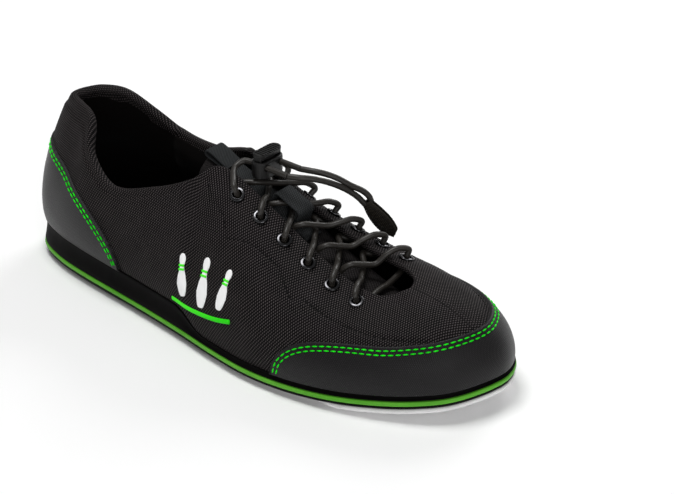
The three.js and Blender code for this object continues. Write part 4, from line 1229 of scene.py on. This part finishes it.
# %% Lock body and button
bore_radius = LACE / 2 + 0.35
body_top = bore_radius + LOCK["wall"]
stem_low = -(LACE / 2 + GAP) - 0.8
pocket_low = stem_low - LOCK["travel"] - GAP
body_low = pocket_low - LOCK["wall"]
head_low = body_top + LOCK["travel"] + GAP


def stadium(length, width, low_z, high_z, round_off, sides=14):
    """A block with half-round ends and rounded rims, drawn about the lock's centre."""
    bm = bmesh.new()
    r, reach = length / 2, width / 2 - length / 2
    turns = np.linspace(0, math.pi, sides + 1)
    points = [(r * math.cos(a), reach + r * math.sin(a)) for a in turns]
    points += [(-r * math.cos(a), -reach - r * math.sin(a)) for a in turns]
    foot_ring = [bm.verts.new((x / 1000, y / 1000, low_z / 1000)) for x, y in points]
    face = bm.faces.new(foot_ring)
    made = bmesh.ops.extrude_face_region(bm, geom=[face])
    top = [v for v in made["geom"] if isinstance(v, bmesh.types.BMVert)]
    bmesh.ops.translate(bm, verts=top, vec=(0, 0, (high_z - low_z) / 1000))
    rims = [e for e in bm.edges if abs(e.verts[0].co.z - e.verts[1].co.z) < 1e-7]
    bmesh.ops.bevel(bm, geom=rims, offset=round_off / 1000, segments=3, profile=0.5, affect="EDGES",
        material=-1)
    return outwards(bm)


def drum(radius, length, axis, centre, sides=24):
    """A cutter or a rod along X, Y or Z, in millimetres about the lock's centre."""
    bm = bmesh.new()
    bmesh.ops.create_cone(bm, cap_ends=True, segments=sides, radius1=radius / 1000,
        radius2=radius / 1000,
        depth=length / 1000)
    turn = Vector((0, 0, 1)).rotation_difference(Vector(axis))
    bmesh.ops.rotate(bm, verts=bm.verts, cent=(0, 0, 0), matrix=turn.to_matrix())
    bmesh.ops.translate(bm, verts=bm.verts, vec=[c / 1000 for c in centre])
    return bm


def block(size, centre):
    bm = bmesh.new()
    bmesh.ops.create_cube(bm, size=1)
    bmesh.ops.scale(bm, vec=[s / 1000 for s in size], verts=bm.verts)
    bmesh.ops.translate(bm, verts=bm.verts, vec=[c / 1000 for c in centre])
    return bm


def carve(bm, tools, mode="DIFFERENCE"):
    """bm cut by, or joined with, other solids."""
    def loose(source, word):
        mesh = bpy.data.meshes.new(word)
        source.to_mesh(mesh)
        source.free()
        made = bpy.data.objects.new(word, mesh)
        bpy.context.collection.objects.link(made)
        return made

    base = loose(bm, "lock_blank")
    cutters = [loose(tool, "lock_tool") for tool in tools]
    for tool in cutters:
        boolean = base.modifiers.new("cut", "BOOLEAN")
        boolean.object, boolean.operation, boolean.solver = tool, mode, "EXACT"
    done = bpy.data.meshes.new_from_object(base.evaluated_get(bpy.context.evaluated_depsgraph_get()))
    for extra in [base, *cutters]:
        bpy.data.objects.remove(extra)
    result = bmesh.new()
    result.from_mesh(done)
    bpy.data.meshes.remove(done)
    return result


def lock_place(bm):
    bmesh.ops.translate(bm, verts=bm.verts, vec=[float(k) for k in metres(lock_at)])
    return bm


STEM = {"length": 5, "width": 15.4}
bores = [drum(bore_radius, 14, (1, 0, 0), (0, s * LOCK["spacing"] / 2, 0)) for s in (-1, 1)]
pocket_top = body_top + 5
pocket_size = (STEM["length"] + 0.6, STEM["width"] + 0.6, pocket_top - pocket_low)
pocket = block(pocket_size, (0, 0, (pocket_top + pocket_low) / 2))
body = carve(stadium(LOCK["length"], LOCK["width"], body_low, body_top, 0.9), [pocket, *bores])
lock_body = mesh_object(lock_place(body), "lock_body_shell", NYLON, "lock", ["lock_body"], "lock",
    smooth_faces=False)

head = stadium(LOCK["length"] - 2.5, LOCK["width"] - 1, head_low, head_low + LOCK["head"], 0.6)
stem = block((STEM["length"], STEM["width"], head_low + 0.5 - stem_low),
    (0, 0, (head_low + 0.5 + stem_low) / 2))
button = carve(head, [stem], "UNION")
slot_half = LACE / 2 + GAP
slots = [block((STEM["length"] + 2, 2 * slot_half, 2 * slot_half + LOCK["travel"]),
    (0, s * LOCK["spacing"] / 2, LOCK["travel"] / 2)) for s in (-1, 1)]
grooves = [block((9, 0.7, 0.9), (0, y, head_low + LOCK["head"])) for y in np.arange(-6.6, 6.7, 1.65)]
button = carve(button, slots + grooves)
lock_button = mesh_object(lock_place(button), "lock_button_head", NYLON, "button", ["lock_button"],
    "lock", smooth_faces=False)
for piece in (lock_body, lock_button):
    edge_round = piece.modifiers.new("moulded edges", "BEVEL")
    edge_round.width, edge_round.segments, edge_round.angle_limit = 0.00018, 2, math.radians(50)
print("lock from", round(body_low, 1), "to", round(head_low + LOCK["head"], 1))

# %% Spring in the lock
SPRING = {"radius": 1.25, "wire": 0.28, "turns": 4}
SEAT = 0.8  # the spring's socket in the stem stops this far under the button's head
spring_low = pocket_low + GAP + SPRING["wire"]
spring_top = head_low - SEAT - GAP - SPRING["wire"]
k = np.linspace(0, 1, 160)
turned = k * 2 * math.pi * SPRING["turns"]
coil = lock_at + stack(np.cos(turned) * SPRING["radius"], np.sin(turned) * SPRING["radius"],
    mix(spring_low, spring_top, k))
coil_piece = tube("lock_spring_coil", coil, SPRING["wire"], SPRING_STEEL, "lock", ["lock_spring"],
    "spring", sides=8)
foot = tuple(float(v) for v in metres(lock_at + [0, 0, spring_low]))
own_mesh(coil_piece)

# %% [markdown]
# ## Tails and pull tab
# Beyond the lock the lace's two ends hang forward and meet in the pull tab, two leaves of ribbed
# cloth sewn round them. The tails are free cord, and each one's length is printed.

# %% Tails
TAIL_NEAR = [[168.5, 0.8, 89.5], [173, 3.4, 89.4], [178, 8.6, 88.2], [182.6, 15.2, 85.2],
    [187, 22, 80.6],
    [190, 26.8, 76.2], [191.9, 29.2, 73.2], [193.9, 31.3, 69.6]]
TAIL_FAR = [[168.5, 11.2, 89.5], [173.5, 12.9, 89.6], [178.6, 16.2, 88.6], [183.6, 20.8, 85.8],
    [188.6, 25.8, 81.2],
    [193, 31, 77], [195.2, 33.1, 73.6], [196.1, 33.9, 69.4]]
tab_top, tab_tip = np.array([194.2, 32.2, 71.2]), np.array([204.6, 40.6, 52.4])
tails = {}
for name, points, side in (("near", TAIL_NEAR, LATERAL), ("far", TAIL_FAR, MEDIAL)):
    points = [np.array(p, float) for p in points]
    points[0] = np.array([straight_end + GAP, lace_y(side), lock_at[2]])
    line = centripetal(points, 90)
    tails[name] = (tube(f"tail_{name}_cord", line, LACE / 2, BRAID, "pull_tab", [f"tail_{name}"],
        "cord"), line)

# %% Pull tab leaves
TAB = {"length": 25, "width": 13.5, "leaf": 1.1}
TAB_SWELL = 0.9  # each leaf bows out this far over the two cords
down = (tab_tip - tab_top) / np.linalg.norm(tab_tip - tab_top)
aside = np.cross([-0.15, -0.93, 0.2], down)
aside = aside / np.linalg.norm(aside)
face_out = np.cross(down, aside)


def tab_half(s):
    """Half width of the leaf at a share of its length."""
    shape = np.array([[0.5], [0.68], [0.86], [0.97], [1.0], [0.93], [0.72], [0.0]])
    return TAB["width"] / 2 * np.maximum(through(shape, s * 7, False)[..., 0], 0)


def leaf(name, low_h, high_h, swell, nodes):
    def place(a, b):
        s = eased(b)
        angle = a * 2 * math.pi
        across = np.cos(angle)
        rise = np.sign(np.sin(angle)) * np.abs(np.sin(angle)) ** 0.5
        ends = np.sqrt(clamp(1 - (1 - clamp(np.minimum(s, 1 - s) / 0.05)) ** 2))
        h = mix(low_h, high_h, 0.5 + 0.5 * rise * (0.4 + 0.6 * ends))
        bulge = swell * (1 - across**2) * (1 - smooth((s - 0.45) / 0.4))
        at = tab_top + down * (s * TAB["length"])[:, None]
        return at + aside * (across * tab_half(s))[:, None] + face_out * (h + bulge)[:, None]

    bm = bend_grid(40, 48, place, lambda a, b: stack(a * 28, b * TAB["length"]))
    return closed_piece(bm, name, TAB_CLOTH, "pull_tab", nodes, "webbing")


front = leaf("tab_leaf_front", GAP / 2, GAP / 2 + TAB["leaf"], TAB_SWELL, ["tab_front"])
back = leaf("tab_leaf_back", -GAP / 2 - TAB["leaf"], -GAP / 2, -TAB_SWELL, ["tab_back"])

# rows of stitches round the tab's edge, on its front
bm = bmesh.new()
s = np.linspace(0.06, 0.93, 60)
rim_line = np.vstack([np.column_stack([s * TAB["length"], tab_half(s) - 1.5]),
    np.column_stack([s * TAB["length"], -tab_half(s) + 1.5])[::-1]])
for x, y in evenly(rim_line, 2.0):
    share = x / TAB["length"]
    swell = (TAB_SWELL * (1 - (y / max(float(tab_half(share)), 1)) ** 2)
        * float(1 - smooth((share - 0.45) / 0.4)))
    p = tab_top + down * x + aside * y + face_out * (GAP / 2 + TAB["leaf"] + 0.1 + swell)
    thread(bm, p, (down, aside, face_out), (1.4, 0.5, 0.4))
tab_seam = mesh_object(bm, "tab_stitches", GREY_THREAD, "pull_tab", (), "webbing")

for name, (piece, line) in tails.items():
    run = float(np.linalg.norm(np.diff(line, axis=0), axis=1).sum()) / 1000
    tuple(float(v) for v in metres(line[0]))
    [[float(v) for v in p] for p in metres(line)]
    print("tail", name, round(run * 1000, 1), "mm")

# %% [markdown]
# ## Embroidery
# The outer side carries an embroidered motif: three filled white pins with green neck bands, on a
# green lane line. Satin stitch is a low, rounded ridge of threads that lie across its run, so each
# line is a flattened tube and each pin a domed patch, both settled onto the cloth.

# %% Satin-stitched pins
motif_u, motif_t = 7.75, 0.34
centre = skin(motif_u, motif_t)
out = skin_out(motif_u, motif_t)
forward = unit(skin(motif_u + 0.2, motif_t) - skin(motif_u - 0.2, motif_t))
upward = np.cross(out, forward)
upward = upward if upward[2] > 0 else -upward


def on_cloth(points, height):
    """Drawing-plane points (forward, up) in millimetres, put onto the cloth at a height."""
    points = np.asarray(points, float)
    flat = centre + forward * points[:, :1] + upward * points[:, 1:2]
    u, t = np.full(len(points), motif_u), np.full(len(points), motif_t)
    for _ in range(4):
        u, t = settle(flat, u, t, 3)
        flat = flat + skin_out(u, t) * ((skin(u, t) - flat) * skin_out(u, t)).sum(1)[:, None]
    p = skin(u, t)
    return p + skin_out(u, t) * (relief(u, t, p) + height)[:, None], skin_out(u, t)


def satin(name, outline_points, width, material, slot, height=0.15):
    flat = smooth_line(np.array(outline_points, float), 30 * len(outline_points))
    line, facing = on_cloth(flat, height)
    ends = np.linspace(0, 1, len(line))
    radii = width / 2 * np.sqrt(clamp(1 - (1 - clamp(np.minimum(ends, 1 - ends) / 0.015)) ** 2) + 0.05)
    return tube(name, line, width / 2, material, "shoe", (), slot, sides=10, flatten=0.42,
        radii=radii, facing=facing)


PIN_UP = np.array([0, 0.6, 3.2, 7.5, 12.2, 15.8, 18.4, 21, 23.4, 24.9, 25.3])
PIN_HALF = np.array([1.5, 2.2, 3.1, 3.8, 3.0, 1.75, 1.5, 2.2, 2.15, 1.1, 0.05])


def pin(name, at, low, scale, lean, rows=64, columns=20):
    """A filled pin of satin stitch: threads lie across it, and its middle swells."""
    c, s = math.cos(lean), math.sin(lean)

    def place(a, b):
        up = b * PIN_UP[-1] * scale
        swell = np.interp(b * PIN_UP[-1], PIN_UP, PIN_HALF) * scale
        across = (2 * a - 1) * swell
        flat = np.stack([at + c * across + s * up, low - s * across + c * up], axis=-1)
        p, n = on_cloth(flat, 0.0)
        dome = 0.12 + 0.55 * np.sqrt(clamp(1 - (2 * a - 1) ** 2))
        return p + n * np.where((a < 0.001) | (a > 0.999), -0.1, dome)[:, None]

    def size(a, b):
        return stack((2 * a - 1) * 3, b * PIN_UP[-1] * scale)

    return mesh_object(outwards(bend_grid(columns, rows, place, size)), name, WHITE_RAYON, "shoe",
        (), "slide")


PINS = ((-13.5, -9.5, 0.88, -0.14), (0, -12, 1.05, 0.0), (13.5, -9.5, 0.88, 0.14))
for i, (at, low_y, scale, lean_by) in enumerate(PINS):
    pin(f"pin_{i + 1}", at, low_y, scale, lean_by)
    c, s = math.cos(lean_by), math.sin(lean_by)
    for j, level in enumerate((15.9, 18.2)):
        y = level * scale
        ends = [(at + c * x + s * y, low_y - s * x + c * y) for x in (-1.9 * scale, 0, 1.9 * scale)]
        satin(f"pin_band_{i + 1}_{j + 1}", ends, 1.25, GREEN_RAYON, "welt", 0.62)
satin("lane_line", [(-23, -13.6), (-12, -15.2), (0, -15.7), (12, -15.2), (23, -13.6)], 2.4,
    GREEN_RAYON, "welt")

# %% [markdown]
# ## Hidden layers
# Shank, board, stiffeners, eyestays and foam stay as the frame has them. They hardly show, but each
# one still gets the finish of its real material.

# %% Finishes of the carried-over nodes
HIDDEN = {"shank": NYLON, "insole_board": BOARD, "heel_counter": NYLON, "toe_puff": NYLON,
    "eyestay_lateral": COATED_WEAVE, "eyestay_medial": COATED_WEAVE, "collar_foam": FOAM}
for node_name, material in HIDDEN.items():
    node_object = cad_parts[node_name]
    node_object.data.materials.clear()
    node_object.data.materials.append(material)
print("hidden layers", len(HIDDEN))

# %% [markdown]
# ## Floor, lights and camera
# A flat white floor, one large soft light nearly overhead, a weaker one in front and one behind,
# and a long lens from the outer front corner, as for a shop picture.

# %% Floor
bm = bmesh.new()
bmesh.ops.create_grid(bm, x_segments=1, y_segments=1, size=3)
floor_paint, floor_bsdf = finish_of("pale_floor", 0.7, Specular_IOR_Level=0.1)
floor_bsdf.inputs["Base Color"].default_value = linear("#ffffff")
floor = mesh_object(bm, "studio_floor", floor_paint, None)
floor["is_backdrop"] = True

# %% Lights
world = bpy.context.scene.world or bpy.data.worlds.new("studio")
bpy.context.scene.world = world
world.use_nodes = True
world.node_tree.nodes["Background"].inputs["Color"].default_value = linear("#ffffff")
world.node_tree.nodes["Background"].inputs["Strength"].default_value = 0.22


def soft_light(name, at, target, size, watts):
    data = bpy.data.lights.new(name, "AREA")
    data.shape, data.size, data.energy = "DISK", size, watts
    light = bpy.data.objects.new(name, data)
    light.location = at
    light.rotation_euler = (Vector(target) - Vector(at)).to_track_quat("-Z", "Y").to_euler()
    bpy.context.collection.objects.link(light)


soft_light("key", (-0.25, -0.1, 1.6), (0, 0, 0.05), 0.7, 16.5)
soft_light("front_fill", (1.3, -0.9, 0.7), (0, 0, 0.05), 0.8, 7)
soft_light("rim", (-0.2, 1.3, 0.9), (0, 0, 0.05), 0.8, 8)

# %% Camera
AZIMUTH, ELEVATION, DISTANCE = 0.6927848626, 0.5107247579, 1.3890440649  # radians, metres
FOCAL_LENGTH = 133.336202  # millimetres, for a sensor 36 mm wide
aim = Vector((-0.0191, 0.0861, -0.0013))
level = math.cos(ELEVATION)
toward = Vector((math.sin(AZIMUTH) * level, -math.cos(AZIMUTH) * level, math.sin(ELEVATION)))
lens = bpy.data.cameras.new("studio_camera")
lens.sensor_width, lens.lens, lens.clip_end = 36, FOCAL_LENGTH, 20
camera = bpy.data.objects.new("studio_camera", lens)
camera.location = aim + toward * DISTANCE
camera.rotation_euler = (-toward).to_track_quat("-Z", "Y").to_euler()
bpy.context.collection.objects.link(camera)
bpy.context.scene.camera = camera
bpy.context.scene.view_settings.view_transform = "Standard"  # a white floor stays white

# %% Size and end
shown_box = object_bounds()
boxes = {"cad": cad_box, "shown": shown_box}
{word: [list(map(float, c)) for c in box] for word, box in boxes.items()}
print("cad", cad_box, "shown", shown_box)
